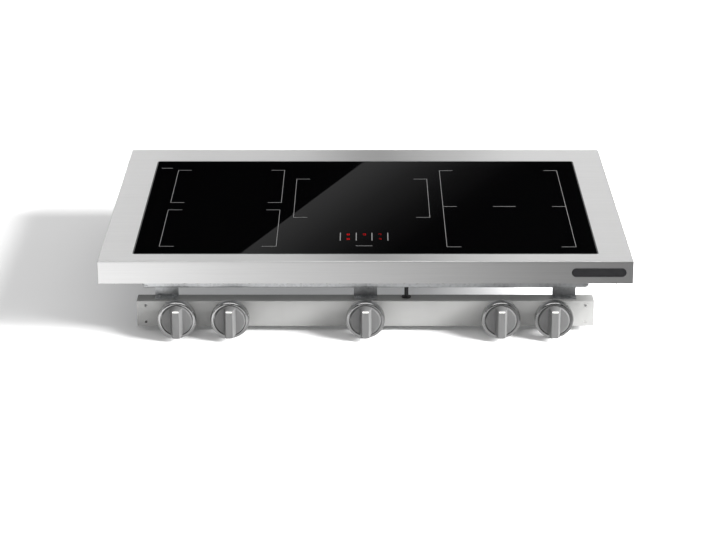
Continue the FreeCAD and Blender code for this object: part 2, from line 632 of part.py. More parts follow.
# ---- the steel top and the glass -----------------------------------------------------------------
def make_top_frame():
    """One sheet folded down on four sides, with welded corners and a flange turned in below."""
    body = new_body("top_frame")
    outline = sketch(body, "top_outline")
    rectangle(outline, "top_width", "top_depth")
    block = pad(body, outline, "top_height")
    doc.recompute()
    height = size("top_height")
    folds = dress(body, "Fillet", "top_folds", block, "Radius", "fold_radius",
                  lambda e: upright(e) or at_level(e, height))
    doc.recompute()
    under = max(folds.Shape.Faces, key=lambda f: -f.CenterOfMass.z)
    name = [f"Face{i}" for i, f in enumerate(folds.Shape.Faces, start=1) if f.isSame(under)]
    shell = body.newObject("PartDesign::Thickness", "top_shell")
    shell.Base = (folds, name)
    bind(shell, "Value", "steel_gauge")
    shell.Reversed = True
    flange = sketch(body, "top_flange")
    rectangle(flange, "top_width - steel_gauge", "top_depth - steel_gauge")
    rectangle(flange, "top_width - 2 * seat_width", "top_depth - 2 * seat_width")
    pad(body, flange, "steel_gauge")
    opening = sketch(body, "top_opening", offset="top_height")
    rounded(opening, "glass_width + 2 * seal_width", "glass_depth + 2 * seal_width",
            "glass_corner + seal_width", y="glass_shift")
    pocket(body, opening, "2 * steel_gauge")
    return publish(body, "top_frame")


def make_glass_plate():
    body = new_body("glass_plate")
    outline = sketch(body, "glass_outline", offset="top_height - glass_sink - glass_gauge")
    rounded(outline, "glass_width", "glass_depth", "glass_corner", y="glass_shift")
    plate = pad(body, outline, "glass_gauge")
    level = size("top_height - glass_sink")
    dress(body, "Chamfer", "glass_bevel", plate, "Size", "glass_edge",
          lambda e: at_level(e, level))
    return publish(body, "glass_plate")


def ring(body, name, level, height, outer, inner, corner="glass_corner"):
    """A flat frame around the glass. outer and inner are added to each side of the glass."""
    made = sketch(body, name, offset=level)
    for reach in (outer, inner):
        rounded(made, f"glass_width + 2 * ({reach})", f"glass_depth + 2 * ({reach})",
                corner if reach == inner else f"{corner} + seal_width", y="glass_shift")
    return pad(body, made, height)


def make_glass_seal():
    """Black silicone: a bed under the rim of the glass and the joint around it."""
    body = new_body("glass_seal")
    ring(body, "seal_bed_ring", SHELF_TOP, "seal_bed", "seal_width", "bed_inset - shelf_width")
    ring(body, "seal_joint", f"{SHELF_TOP} + seal_bed", "glass_gauge", "seal_width", "0")
    return publish(body, "glass_seal")


def make_glass_support_frame():
    """A Z-section frame welded under the opening. Its shelf carries the glass."""
    body = new_body("glass_support_frame")
    web = "seal_width + steel_gauge"
    ring(body, "shelf_ring", SHELF_UNDER, "steel_gauge", web, "-shelf_width")
    ring(body, "web_ring", SHELF_UNDER, f"top_height - steel_gauge - ({SHELF_UNDER})",
         web, "seal_width", "glass_corner + seal_width")
    ring(body, "lip_ring", "top_height - 2 * steel_gauge", "steel_gauge",
         "seal_width + lip_width", "seal_width", "glass_corner + seal_width")
    return publish(body, "glass_support_frame")


def make_front_badge():
    """A blank enamelled plate at the right end of the fascia."""
    body = new_body("front_badge")
    outline = sketch(body, "badge_outline", "XZ_Plane", "top_depth / 2")
    rounded(outline, "badge_length", "badge_height", round_end("badge_height"),
            "badge_side", "badge_level")
    plate = pad(body, outline, "badge_gauge")
    front = -size("top_depth / 2 + badge_gauge")
    dress(body, "Chamfer", "badge_edge", plate, "Size", "badge_bevel",
          lambda e: abs(e.BoundBox.YMin - front) < HAIR and abs(e.BoundBox.YMax - front) < HAIR)
    return publish(body, "front_badge")


def make_fixing_brackets():
    """Four angles riveted to the bottom flange. Screws go through them into the cabinet."""
    brackets = []
    inner = "top_width / 2 - seat_width"
    for side in (-1, 1):
        for end in (-1, 1):
            name = f"bracket_{'l' if side < 0 else 'r'}{'f' if end < 0 else 'b'}"
            middle = f"{end} * bracket_rear"
            span = (f"{middle} - bracket_half", f"{middle} + bracket_half")
            edges = (f"{side} * ({inner})", f"{side} * ({inner} - steel_gauge)")
            leg_x = edges if side < 0 else edges[::-1]
            reach = (f"{side} * ({inner} + bracket_reach)", f"{side} * ({inner} - steel_gauge)")
            foot_x = reach if side < 0 else reach[::-1]
            leg = box(name + "_leg", leg_x, span, ("bracket_foot", "2 * steel_gauge"))
            foot = box(name + "_foot", foot_x, span, ("steel_gauge", "2 * steel_gauge"))
            hole_x = (f"{side} * ({inner}) - overcut", f"{side} * ({inner}) + overcut")
            hole = rod(name + "_hole", "bracket_hole_radius", hole_x, middle, "bracket_hole_level")
            rivets = [
                rod(f"{name}_rivet{step + 1}", "rivet_radius", f"{side} * ({inner} + bracket_reach / 2)",
                    f"{middle} + {step} * rivet_half_pitch",
                    ("2 * steel_gauge", "2 * steel_gauge + rivet_head"))
                for step in (-1, 1)
            ]
            brackets.append(cut(name, fuse(name + "_angle", leg, foot, *rivets), hole))
    publish(group("fixing_bracket_group", brackets), "fixing_brackets")


# ---- the tray ------------------------------------------------------------------------------------
def make_base_tray():
    """The deep sheet tray under the glass, with its flange bolted under the support frame."""
    body = new_body("base_tray")
    outline = sketch(body, "tray_outline", offset="tray_floor")
    rounded(outline, TRAY_WIDTH, TRAY_DEPTH, "tray_corner", y="glass_shift")
    block = pad(body, outline, f"{SHELF_UNDER} - tray_floor")
    floor, rim = size("tray_floor"), size(SHELF_UNDER)
    bend = dress(body, "Fillet", "tray_fold", block, "Radius", "tray_bend",
                 lambda e: at_level(e, floor))
    doc.recompute()
    name = [f"Face{i}" for i, f in enumerate(bend.Shape.Faces, start=1)
            if abs(f.BoundBox.ZMin - rim) < HAIR]
    shell = body.newObject("PartDesign::Thickness", "tray_shell")
    shell.Base = (bend, name)
    bind(shell, "Value", "tray_gauge")
    shell.Reversed = True
    flange = sketch(body, "tray_flange", offset=f"{SHELF_UNDER} - tray_gauge")
    rounded(flange, "glass_width + 2 * seal_width", "glass_depth + 2 * seal_width",
            "flange_corner", y="glass_shift")
    rounded(flange, f"{TRAY_WIDTH} - tray_gauge", f"{TRAY_DEPTH} - tray_gauge",
            "tray_corner - tray_gauge / 2", y="glass_shift")
    pad(body, flange, "tray_gauge")

    bead = sketch(body, "tray_bead", offset="tray_floor - bead_height")
    rounded(bead, "bead_length", "bead_width", round_end("bead_width"),
            y="glass_shift - 2 * bead_pitch")
    bead_pad = pad(body, bead, "bead_height + tray_gauge / 2")
    repeat(body, bead_pad, bead, "V_Axis", f"{BEADS - 1} * bead_pitch", BEADS)

    slots = sketch(body, "tray_vents", "XZ_Plane")
    rounded(slots, "vent_width", "vent_height", round_end("vent_width"),
            f"-{(VENTS - 1) / 2} * vent_pitch", "tray_floor + vent_rise")
    vents = pocket(body, slots, "top_depth", both_ways=True)
    repeat(body, vents, slots, "H_Axis", f"{VENTS - 1} * vent_pitch", VENTS)

    grille = sketch(body, "tray_grilles", offset="tray_floor - overcut")
    for side in (-1, 1):
        for i in range(GRILLE_SLOTS):
            step = f"{i - (GRILLE_SLOTS - 1) / 2} * grille_pitch"
            chord = f"2 * sqrt(grille_radius ^ 2 - ({step}) ^ 2)"
            rounded(grille, chord, "grille_slot", round_end("grille_slot"),
                    f"{side} * module_centre", f"blower_rear + {step}")
    for x, y in ((CABLE_SIDE, CABLE_REAR), WIRE_HOLE):
        circle(grille, "wire_hole", x, y)
    pocket(body, grille, "tray_gauge + 2 * overcut", upwards=True)
    return publish(body, "base_tray")


def make_tray_bolts():
    """Studs welded under the shelf, with the flanged nuts that hold the tray up."""
    bolts = []
    rim = f"{SHELF_UNDER} - tray_gauge"
    seat = f"{rim} - washer_gauge"
    spots = [(f"{n} * bolt_pitch", f"glass_shift + {s} * (glass_depth / 2 - bolt_inset)")
             for n in (-2.5, -1.5, -0.5, 0.5, 1.5, 2.5) for s in (-1, 1)]
    spots += [(f"{s} * (glass_width / 2 - bolt_inset)", f"glass_shift + {n} * bolt_pitch_side")
              for n in (-1, 0, 1) for s in (-1, 1)]
    for i, (x, y) in enumerate(spots):
        nut = hexagon(f"tray_nut{i}", "nut_across", (f"{seat} - nut_height", seat), x, y)
        washer = rod(f"tray_washer{i}", "washer_radius", x, y, (seat, rim))
        stud = rod(f"tray_stud{i}", "stud_radius", x, y,
                   (f"{seat} - nut_height - stud_end", f"{seat} - nut_height"))
        bolts.append(fuse(f"tray_bolt{i}", nut, washer, stud))
    return publish(group("tray_bolt_group", bolts), "tray_bolts")


# ---- coils ---------------------------------------------------------------------------------------
def make_coil_carrier(label, x, front, rear, width, holes):
    """An aluminium sheet with turned-down edges that carries coils on pillars."""
    body = new_body(label)
    depth, middle = f"(({rear}) - ({front}))", f"(({rear}) + ({front})) / 2"
    outline = sketch(body, label + "_outline", offset=f"{CARRIER_TOP} - carrier_edge")
    rounded(outline, width, depth, "carrier_corner", x, middle)
    pad(body, outline, "carrier_edge")
    hollow = sketch(body, label + "_hollow", offset=f"{CARRIER_TOP} - carrier_edge")
    rounded(hollow, f"{width} - 2 * carrier_gauge", f"{depth} - 2 * carrier_gauge",
            "carrier_corner - carrier_gauge", x, middle)
    pocket(body, hollow, "carrier_edge - carrier_gauge", upwards=True)
    windows = sketch(body, label + "_windows", offset=CARRIER_TOP)
    for hole_x, hole_y in holes:
        circle(windows, "window_small", hole_x, hole_y)
        for sx, sy in ((-1, -1), (1, -1), (1, 1), (-1, 1)):
            circle(windows, "window_large", f"{hole_x} + {sx} * window_offset",
                   f"{hole_y} + {sy} * window_offset")
    pocket(body, windows, "2 * carrier_gauge")
    publish(body, label)


def make_coil_carriers():
    spots = {zone: (x, y) for zone, x, y, _ in COILS}
    front, rear = "zone_front - carrier_margin", "zone_rear + carrier_margin"
    make_coil_carrier("coil_carrier_left", "zone_left", front, rear, "carrier_narrow",
                      [spots["left_rear"], spots["left_front"]])
    make_coil_carrier("coil_carrier_centre", "zone_middle", front, "zone_rear - centre_setback",
                      "carrier_wide", [spots["centre"]])
    make_coil_carrier("coil_carrier_right", "zone_right", front, rear, "carrier_wide",
                      [spots["right_rear"], spots["right_front"]])
    pillars = []
    short = "zone_rear - centre_setback - carrier_margin"
    for x, last, half in (("zone_left", "zone_rear", "pillar_narrow"),
                          ("zone_right", "zone_rear", "pillar_wide"),
                          ("zone_middle", short, "pillar_wide")):
        for side in (-1, 1):
            for y in ("zone_front + pillar_inset", f"{last} - pillar_inset"):
                name = f"pillar{len(pillars)}"
                post_x = f"{x} + {side} * {half}"
                post = rod(name + "_post", "pillar_radius", post_x, y,
                           (TRAY_INSIDE, f"{CARRIER_TOP} - carrier_gauge"))
                foot = hexagon(name + "_foot", "pillar_foot",
                               (TRAY_INSIDE, f"{TRAY_INSIDE} + pillar_foot_height"), post_x, y)
                pillars.append(fuse(name, post, foot))
    publish(group("pillar_group", pillars), "carrier_pillars")


def winding_shape(inner, outer, pitch):
    """A flat winding: turns of round litz wire, side by side, closed into one ring."""
    turns = int((outer - inner) / pitch)
    radius, middle = pitch / 2, pitch / 2
    groove = LITZ_GROOVE * radius
    edges = []
    for side in (1, -1):
        order = range(turns) if side > 0 else range(turns - 1, -1, -1)
        for i in order:
            near, far = inner + i * pitch, inner + (i + 1) * pitch
            first, last = (near, far) if side > 0 else (far, near)
            edges.append(Part.Arc(V(first, 0, middle + side * groove),
                                  V((near + far) / 2, 0, middle + side * radius),
                                  V(last, 0, middle + side * groove)).toShape())
        end = inner + turns * pitch if side > 0 else inner
        edges.append(Part.makeLine(V(end, 0, middle + side * groove),
                                   V(end, 0, middle - side * groove)))
    return Part.Face(Part.Wire(edges)).revolve(V(), Z_AXIS, 360)


def make_coils():
    formers, ferrites, sensors, sheets = [], [], [], []
    for zone, x, y, outer in COILS:
        winding = doc.addObject("Part::Feature", "winding_" + zone)
        winding.Shape = winding_shape(size("coil_inner"), size(outer), size("litz_pitch"))
        move(winding, x, y, "coil_level", FreeCAD.Rotation())
        publish(winding, "coil_winding_" + zone)

        low = "coil_level - former_gauge"
        disc = rod("former_disc_" + zone, f"{outer} + former_rim", x, y, (low, "coil_level"))
        collar_top = "coil_level + former_collar"
        eye = rod("former_hole_" + zone, "former_eye", x, y, (f"{low} - 1", f"{collar_top} + 1"))
        collar = rod("former_ring_" + zone, "coil_inner - former_play", x, y,
                     ("coil_level", collar_top))
        formers.append(cut("former_" + zone, fuse("former_body_" + zone, disc, collar), eye))

        for k in range(FERRITES):
            bar = doc.addObject("Part::Box", f"ferrite_{zone}{k}")
            bind(bar, "Length", f"{outer} - coil_inner - ferrite_inset - ferrite_setback")
            bind(bar, "Width", "ferrite_width")
            bind(bar, "Height", "ferrite_gauge")
            turn = 360 / FERRITES * k
            start, half = "(coil_inner + ferrite_inset)", "ferrite_width / 2"
            c, s = f"cos({turn} deg)", f"sin({turn} deg)"
            move(bar, f"{x} + {start} * {c} + {half} * {s}", f"{y} + {start} * {s} - {half} * {c}",
                 CARRIER_TOP, FreeCAD.Rotation(Z_AXIS, turn))
            ferrites.append(bar)

        tip = rod("sensor_tip_" + zone, "sensor_radius", x, y,
                  ("coil_level", f"{SHELF_TOP} + sensor_press"))
        stem = rod("sensor_rod_" + zone, "sensor_stem", x, y,
                   (f"{CARRIER_TOP} - sensor_drop", "coil_level"))
        sensors.append(fuse("sensor_" + zone, tip, stem))

        under = "coil_level + litz_pitch + mica_gap"
        sheet = rod("mica_disc_" + zone, f"{outer} + mica_rim", x, y,
                    (under, f"{under} + mica_gauge"))
        hole = rod("mica_eye_" + zone, "mica_hole", x, y,
                   (f"{under} - overcut", f"{under} + overcut"))
        sheets.append(cut("mica_" + zone, sheet, hole))
    publish(group("former_group", formers), "coil_formers")
    publish(group("ferrite_group", ferrites), "ferrite_bars")
    publish(group("sensor_group", sensors), "temperature_sensors")
    publish(group("mica_group", sheets), "mica_sheets")


# ---- electronics ---------------------------------------------------------------------------------
def middle_span(centre, length):
    """The (low, high) pair of a length about its centre."""
    return f"{centre} - ({length}) / 2", f"{centre} + ({length}) / 2"


def board_posts(word, spots):
    """The posts that hold a circuit board off the tray's floor."""
    return [rod(f"{word}_post{i}", "post_radius", x, y, (TRAY_INSIDE, BOARD_UNDER))
            for i, (x, y) in enumerate(spots)]


def make_power_module(side, word):
    """A power board with its capacitors and relays, and the heat sink for its transistors."""
    x = f"{side} * module_centre"
    pieces = [box(f"board_{word}", middle_span(x, "2 * power_half"),
                  ("power_front", "power_rear"), (BOARD_UNDER, BOARD_TOP))]
    for i in range(4):
        part_x = f"{x} + {i - 1.5} * part_pitch"
        pieces.append(rod(f"can_{word}{i}", "can_radius", part_x, "power_front + can_inset",
                          (BOARD_TOP, f"{BOARD_TOP} + can_height")))
        pieces.append(box(f"film_{word}{i}", middle_span(part_x, "film_length"),
                          middle_span("power_front + film_inset", "film_width"),
                          (BOARD_TOP, f"{BOARD_TOP} + film_height")))
        pieces.append(box(f"relay_{word}{i}", middle_span(f"{x} + relay_side", "relay_width"),
                          middle_span(f"relay_front + {i} * relay_pitch", "relay_length"),
                          (BOARD_TOP, f"{BOARD_TOP} + relay_height")))
    pieces += board_posts("power_" + word, [
        (f"{x} + {dx} * power_post_side", y) for dx in (-1, 1)
        for y in ("power_front + power_post_inset", "power_rear - power_post_inset")])
    publish(group(f"power_board_group_{word}", pieces), "power_board_" + word)

    body = new_body("heat_sink_" + word)
    base = sketch(body, f"sink_base_{word}", offset=BOARD_TOP)
    sink_x = f"{x} + sink_shift"
    rectangle(base, "sink_width", "sink_length", sink_x, "sink_rear")
    pad(body, base, "sink_base")
    fin = sketch(body, f"sink_fin_{word}", offset=f"{BOARD_TOP} + sink_base")
    reach = "sink_width - fin_gauge - 2 * fin_inset"
    rectangle(fin, "fin_gauge", "sink_length", f"{sink_x} - ({reach}) / 2", "sink_rear")
    first = pad(body, fin, "fin_height")
    repeat(body, first, fin, "H_Axis", reach, SINK_FINS)
    publish(body, "heat_sink_" + word)


def make_filter_board():
    """The mains filter: two ring chokes, two suppressor capacitors and the mains relay."""
    pieces = [box("filter_pcb", middle_span("0", "2 * filter_half"),
                  ("filter_front", "filter_rear"), (BOARD_UNDER, BOARD_TOP))]
    for i in range(2):
        y = f"choke_front + {i} * choke_pitch"
        toroid = doc.addObject("Part::Torus", f"choke{i}")
        bind(toroid, "Radius1", "choke_radius")
        bind(toroid, "Radius2", "choke_wire")
        pieces.append(move(toroid, "-choke_side", y, f"{BOARD_TOP} + choke_wire"))
        pieces.append(box(f"suppressor{i}", middle_span("suppressor_side", "suppressor_length"),
                          middle_span(y, "suppressor_width"),
                          (BOARD_TOP, f"{BOARD_TOP} + suppressor_height")))
    pieces.append(box("mains_relay", middle_span("-mains_relay_side", "mains_relay_width"),
                      middle_span("mains_relay_rear", "relay_length"),
                      (BOARD_TOP, f"{BOARD_TOP} + mains_relay_height")))
    pieces += board_posts("filter", [
        (f"{dx} * filter_post_side", y) for dx in (-1, 1)
        for y in ("filter_front + filter_post_inset", "filter_rear - filter_post_inset")])
    publish(group("filter_board_group", pieces), "filter_board")


def make_display():
    """Two-line level display under the glass: one digit for each zone."""
    low = f"{CARRIER_TOP} + display_lift"
    top = f"{low} + board_gauge"
    x, y = "zone_middle + display_shift", "display_rear"
    pieces = [box("display_pcb", middle_span(x, "display_width"),
                  middle_span(y, "display_depth"), (low, top))]
    for sx in (-1, 1):
        for sy in (-1, 1):
            pieces.append(rod(f"display_post{len(pieces)}", "display_post",
                              f"{x} + {sx} * (display_width / 2 - display_inset)",
                              f"{y} + {sy} * (display_depth / 2 - display_inset)",
                              (CARRIER_TOP, low)))
    publish(group("display_board_group", pieces), "display_board")
    digits = []
    for column, rows in ((-1, (-1, 1)), (0, (1,)), (1, (-1, 1))):
        for line in rows:
            digits.append(box(f"digit{len(digits)}",
                              middle_span(f"{x} + {column} * digit_pitch", "digit_width"),
                              middle_span(f"{y} + {line} * digit_rise", "digit_depth"),
                              (top, f"{top} + digit_height")))
    publish(group("display_digit_group", digits), "display_digits")


def make_blower(side, word):
    """A radial blower: it draws air through the tray's grille and blows it over the heat sink."""
    x, y = f"{side} * module_centre", "blower_rear"
    housing = new_body("blower_housing_" + word)
    outline = sketch(housing, f"blower_outline_{word}", offset=TRAY_INSIDE)
    rounded(outline, "blower_side", "blower_side", "blower_corner", x, y)
    pad(housing, outline, f"blower_top - ({TRAY_INSIDE})")
    chamber = sketch(housing, f"blower_chamber_{word}", offset=TRAY_INSIDE)
    circle(chamber, "blower_side / 2 - blower_wall", x, y)
    pocket(housing, chamber, f"blower_top - blower_wall - ({TRAY_INSIDE})", upwards=True)
    outlet = sketch(housing, f"blower_outlet_{word}", offset=f"{TRAY_INSIDE} + outlet_rise")
    rectangle(outlet, "outlet_width", "outlet_depth", f"{x} - outlet_shift",
              f"{y} - blower_side / 2 + outlet_setback")
    pocket(housing, outlet, "outlet_height", upwards=True)
    axle = sketch(housing, f"blower_axle_{word}", offset=f"{TRAY_INSIDE} + stator_rise")
    circle(axle, "axle_radius", x, y)
    pad(housing, axle, f"blower_top - blower_wall / 2 - ({TRAY_INSIDE} + stator_rise)")
    stator = sketch(housing, f"blower_stator_{word}", offset=f"{TRAY_INSIDE} + stator_rise")
    circle(stator, "stator_radius", x, y)
    pad(housing, stator, "stator_height")
    publish(housing, "blower_housing_" + word)

    impeller = new_body("impeller_" + word)
    low = f"{TRAY_INSIDE} + impeller_rise"
    plate = sketch(impeller, f"impeller_plate_{word}", offset="-impeller_plate")
    circle(plate, "impeller_radius")
    circle(plate, "axle_radius + fit_gap")
    pad(impeller, plate, "impeller_plate")
    hub = sketch(impeller, f"impeller_hub_{word}", offset="-impeller_plate / 2 - hub_height")
    circle(hub, "stator_radius + magnet_gap + magnet_gauge")
    circle(hub, "stator_radius + magnet_gap")
    pad(impeller, hub, "hub_height")
    rim = sketch(impeller, f"impeller_rim_{word}", offset=low)
    circle(rim, "impeller_radius")
    circle(rim, "impeller_radius - blade_reach")
    pad(impeller, rim, "rim_gauge")
    blade = sketch(impeller, f"impeller_blade_{word}", offset=f"{low} + rim_gauge / 2")
    inner, outer = "impeller_radius - blade_reach", "impeller_radius - blade_inset"
    polygon(blade, [(inner, "-blade_lean - blade_gauge"), (outer, "blade_lean - blade_gauge"),
                    (outer, "blade_lean"), (inner, "-blade_lean")])
    first = pad(impeller, blade, f"-impeller_plate / 2 - ({low} + rim_gauge / 2)")
    around = impeller.newObject("PartDesign::PolarPattern", f"impeller_blades_{word}")
    around.Originals = [first]
    around.Axis = (blade, ["N_Axis"])
    around.Angle = 360
    around.Occurrences = BLADES
    impeller.Tip = around
    move(impeller, x, y)
    publish(impeller, "impeller_" + word)


# ---- mains terminal ------------------------------------------------------------------------------
def make_terminal_box():
    """The connection box under the rear of the tray, open to the rear, with ears for its cover."""
    shell = box("bay_shell", ("-bay_half", "bay_half"), ("bay_front", "bay_rear"),
                ("bay_floor", "tray_floor"))
    room = box("bay_room", ("bay_wall - bay_half", "bay_half - bay_wall"),
               ("bay_front + bay_wall", "bay_rear + overcut"),
               ("bay_floor + bay_wall", "tray_floor - bay_wall"))
    ears, sockets = [], []
    for word, span in (("left", ("-bay_half - ear_gauge", "-bay_half")),
                       ("right", ("bay_half", "bay_half + ear_gauge"))):
        ears.append(box("bay_ear_" + word, span,
                        ("bay_rear - ear_front", "hinge_rear + ear_reach"),
                        ("hinge_level - ear_drop", "tray_floor")))
        sockets.append(rod("bay_socket_" + word, "hinge_radius + fit_gap", span, "hinge_rear",
                           "hinge_level"))
    wires = rod("bay_wires", "wire_hole", *WIRE_HOLE,
                ("tray_floor - overcut", "tray_floor + overcut"))
    gland = rod("bay_gland", "gland_thread + gland_play",
                ("bay_half - overcut", "bay_half + overcut"), "gland_rear", "gland_level")
    walls = fuse("bay_walls", shell, *ears)
    publish(cut("terminal_box_solid", walls, room, wires, gland, *sockets), "terminal_box")


def make_terminal_block():
    """A five-pole block under the roof of the bay. Its screws are reached from below."""
    roof, front = "tray_floor - bay_wall", "bay_front + block_setback"
    middle = f"{front} + block_depth / 2"
    block = box("block_body", ("block_left", "block_right"), (front, f"{front} + block_depth"),
                (f"{roof} - block_height", roof))
    wells, screws = [], []
    for i in range(5):
        x = f"well_side + {i} * well_pitch"
        wells.append(rod(f"block_well{i}", "well_radius", x, middle,
                         (f"{roof} - block_height - overcut", f"{roof} - well_floor")))
        screws.append(rod(f"block_screw{i}", "screw_radius", x, middle,
                          (f"{roof} - well_floor - screw_height", f"{roof} - well_floor")))
    publish(group("terminal_block_group", [cut("block_solid", block, *wells), *screws]),
            "terminal_block")


def make_terminal_cover():
    """The rear door of the bay: a plate that swings down on two pins."""
    span = ("cover_play - bay_half", "bay_half - cover_play")
    front, low = "bay_rear + cover_gap", "bay_floor + cover_gap"
    plate = box("cover_plate", span, (front, "hinge_rear"), (low, "hinge_level"))
    barrel = rod("cover_barrel", f"hinge_rear - ({front})", span, "hinge_rear", "hinge_level")
    pins = rod("cover_pins", "hinge_radius", ("-bay_half - pin_reach", "bay_half + pin_reach"),
               "hinge_rear", "hinge_level")
    tab = box("cover_tab", ("-tab_half", "tab_half"), ("hinge_rear", "hinge_rear + tab_gauge"),
              (low, f"{low} + tab_height"))
    publish(fuse("terminal_cover_solid", plate, barrel, pins, tab), "terminal_cover")


def make_cable_gland():
    """The screwed gland in the right wall of the bay, where a mains lead comes in."""
    neck, tip = "bay_half + collar_gauge", "bay_half + collar_gauge + cap_length"
    thread = rod("gland_stem", "gland_thread", ("bay_half - gland_reach", "bay_half"),
                 "gland_rear", "gland_level")
    collar = rod("gland_ring", "gland_collar", ("bay_half", neck), "gland_rear", "gland_level")
    cap = rod("gland_nut", "gland_cap", (neck, tip), "gland_rear", "gland_level")
    bore = rod("gland_way", "gland_bore", ("bay_half - gland_reach - overcut", f"{tip} + overcut"),
               "gland_rear", "gland_level")
    publish(cut("cable_gland_solid", fuse("gland_body", thread, collar, cap), bore),
            "cable_gland")


# ---- control rail --------------------------------------------------------------------------------
def make_control_rail():
    """A channel open to the rear that holds the encoders. The cabinet's panel is screwed to it."""
    body = new_body("control_rail")
    section = sketch(body, "rail_section", "YZ_Plane")
    front, back = RAIL_FRONT, f"{RAIL_FRONT} + rail_depth"
    low, high = "-knob_drop - rail_height / 2", RAIL_TOP
    gauge = "rail_gauge"
    polygon(section, [
        (front, low), (back, low), (back, f"{low} + rail_lip"),
        (f"{back} - {gauge}", f"{low} + rail_lip"), (f"{back} - {gauge}", f"{low} + {gauge}"),
        (f"{front} + {gauge}", f"{low} + {gauge}"), (f"{front} + {gauge}", f"{high} - {gauge}"),
        (f"{back} - {gauge}", f"{high} - {gauge}"), (f"{back} - {gauge}", f"{high} - rail_lip"),
        (back, f"{high} - rail_lip"), (back, high), (front, high)])
    channel = pad(body, section, "rail_length", both_ways=True)
    y_front, y_back = size(front), size(back)

    def outer_bend(e):
        bounds = e.BoundBox
        on_face = min(abs(bounds.YMin - y_front), abs(bounds.YMin - y_back)) < HAIR
        corner = abs(abs(bounds.ZMin + size("knob_drop")) - size("rail_height / 2")) < HAIR
        return on_face and corner and abs(bounds.XLength - size("rail_length")) < HAIR

    dress(body, "Fillet", "rail_bends", channel, "Radius", "rail_bend", outer_bend)
    holes = sketch(body, "rail_holes", "XZ_Plane", f"overcut - ({front})")
    for _, x in KNOBS:
        circle(holes, "bushing_radius + bushing_play", x, "-knob_drop")
        rectangle(holes, "key_size", "key_size", x, "-knob_drop - key_drop")
    for sx in (-1, 1):
        for sz in (-1, 1):
            circle(holes, "panel_screw_radius", f"{sx} * panel_screw_side",
                   f"-knob_drop + {sz} * panel_screw_rise")
    pocket(body, holes, "overcut + 2 * rail_gauge")
    cable = sketch(body, "rail_cable_hole", offset=f"{high} + overcut")
    circle(cable, "wire_hole", CABLE_SIDE, CABLE_REAR)
    pocket(body, cable, "overcut + 2 * rail_gauge")
    publish(body, "control_rail")

    inside = f"{back} - {gauge}"
    cover = box("rail_back", ("lid_inset - rail_length / 2", "rail_length / 2 - lid_inset"),
                (f"{inside} - lid_gauge", inside),
                (f"{low} + {gauge} + lid_play", f"{high} - {gauge} - lid_play"))
    publish(cover, "rail_cover")


def make_rail_hangers():
    """Z-shaped brackets between the tray's floor and the rail's upper flange, and their screws."""
    hangers = []
    heel = f"{RAIL_FRONT} + hanger_heel"
    ledge, sill = "tray_floor - steel_gauge", f"{RAIL_TOP} + steel_gauge"
    for i, x in enumerate(("-hanger_side", "0", "hanger_side")):
        span = (f"{x} - hanger_half", f"{x} + hanger_half")
        upper = box(f"hanger_upper{i}", span, (heel, f"{heel} + hanger_arm"),
                    (ledge, "tray_floor"))
        web = box(f"hanger_web{i}", span, (heel, f"{heel} + steel_gauge"),
                  (RAIL_TOP, "tray_floor"))
        lower = box(f"hanger_lower{i}", span,
                    (f"{heel} - hanger_foot", f"{heel} + steel_gauge"), (RAIL_TOP, sill))
        screws = []
        for step in (-1, 1):
            at = f"{x} + {step} * bolt_side"
            screws.append(rod(f"tray_screw{i}{step + 1}", "hanger_bolt", at,
                              f"{heel} + upper_bolt", (f"{ledge} - bolt_head", ledge)))
            screws.append(rod(f"rail_screw{i}{step + 1}", "hanger_bolt", at,
                              f"{heel} - lower_bolt", (sill, f"{sill} + bolt_head")))
        hangers.append(fuse(f"hanger{i}", upper, web, lower, *screws))
    publish(group("rail_hanger_group", hangers), "rail_hangers")


def make_control_cable():
    """The sheathed lead from the encoders up into the tray, with a grommet in each sheet."""
    lead = rod("cable_lead", "cable_radius", CABLE_SIDE, CABLE_REAR,
               (f"{RAIL_TOP} - cable_tail", f"{TRAY_INSIDE} + cable_head"))
    grommets = []
    for i, (under, over) in enumerate((("tray_floor", TRAY_INSIDE),
                                       (f"{RAIL_TOP} - rail_gauge", RAIL_TOP))):
        low, high = f"{under} - lip_gauge", f"{over} + lip_gauge"
        neck = rod(f"neck{i}", "grommet_neck", CABLE_SIDE, CABLE_REAR, (under, over))
        lips = [rod(f"lip{i}{j}", "grommet_lip", CABLE_SIDE, CABLE_REAR, span)
                for j, span in enumerate(((low, under), (over, high)))]
        way = rod(f"way{i}", "cable_radius", CABLE_SIDE, CABLE_REAR,
                  (f"{low} - overcut", f"{high} + overcut"))
        grommets.append(cut(f"grommet{i}", fuse(f"grommet_ring{i}", neck, *lips), way))
    publish(lead, "control_cable")
    publish(group("grommet_group", grommets), "cable_grommets")


# ---- knobs ---------------------------------------------------------------------------------------
def on_knob_axis(obj, x):
    """Places something drawn with +Z out of the panel: its +Z then faces the user."""
    return move(obj, x, PANEL_FACE, "-knob_drop", FreeCAD.Rotation(X_AXIS, 90))


def make_bezel(zone, x):
    """The polished ring around a knob, lying on the cabinet's panel."""
    body = new_body("bezel_" + zone)
    profile = sketch(body, "bezel_profile_" + zone, "XZ_Plane")
    hole = "spacer_radius - spacer_wall"
    polygon(profile, [
        (hole, "0"), ("bezel_radius", "0"), ("bezel_radius", "bezel_depth"),
        ("bezel_seat + bezel_break", "bezel_depth"),
        ("bezel_seat", "bezel_depth - bezel_break"), ("bezel_seat", "bezel_floor"),
        (hole, "bezel_floor")])
    turned = revolve(body, profile)
    radius, depth = size("bezel_radius"), size("bezel_depth")
    dress(body, "Fillet", "bezel_shoulder_" + zone, turned, "Radius", "bezel_round",
          lambda e: at_level(e, depth) and abs(e.BoundBox.XMax - radius) < HAIR)
    return on_knob_axis(body, x)


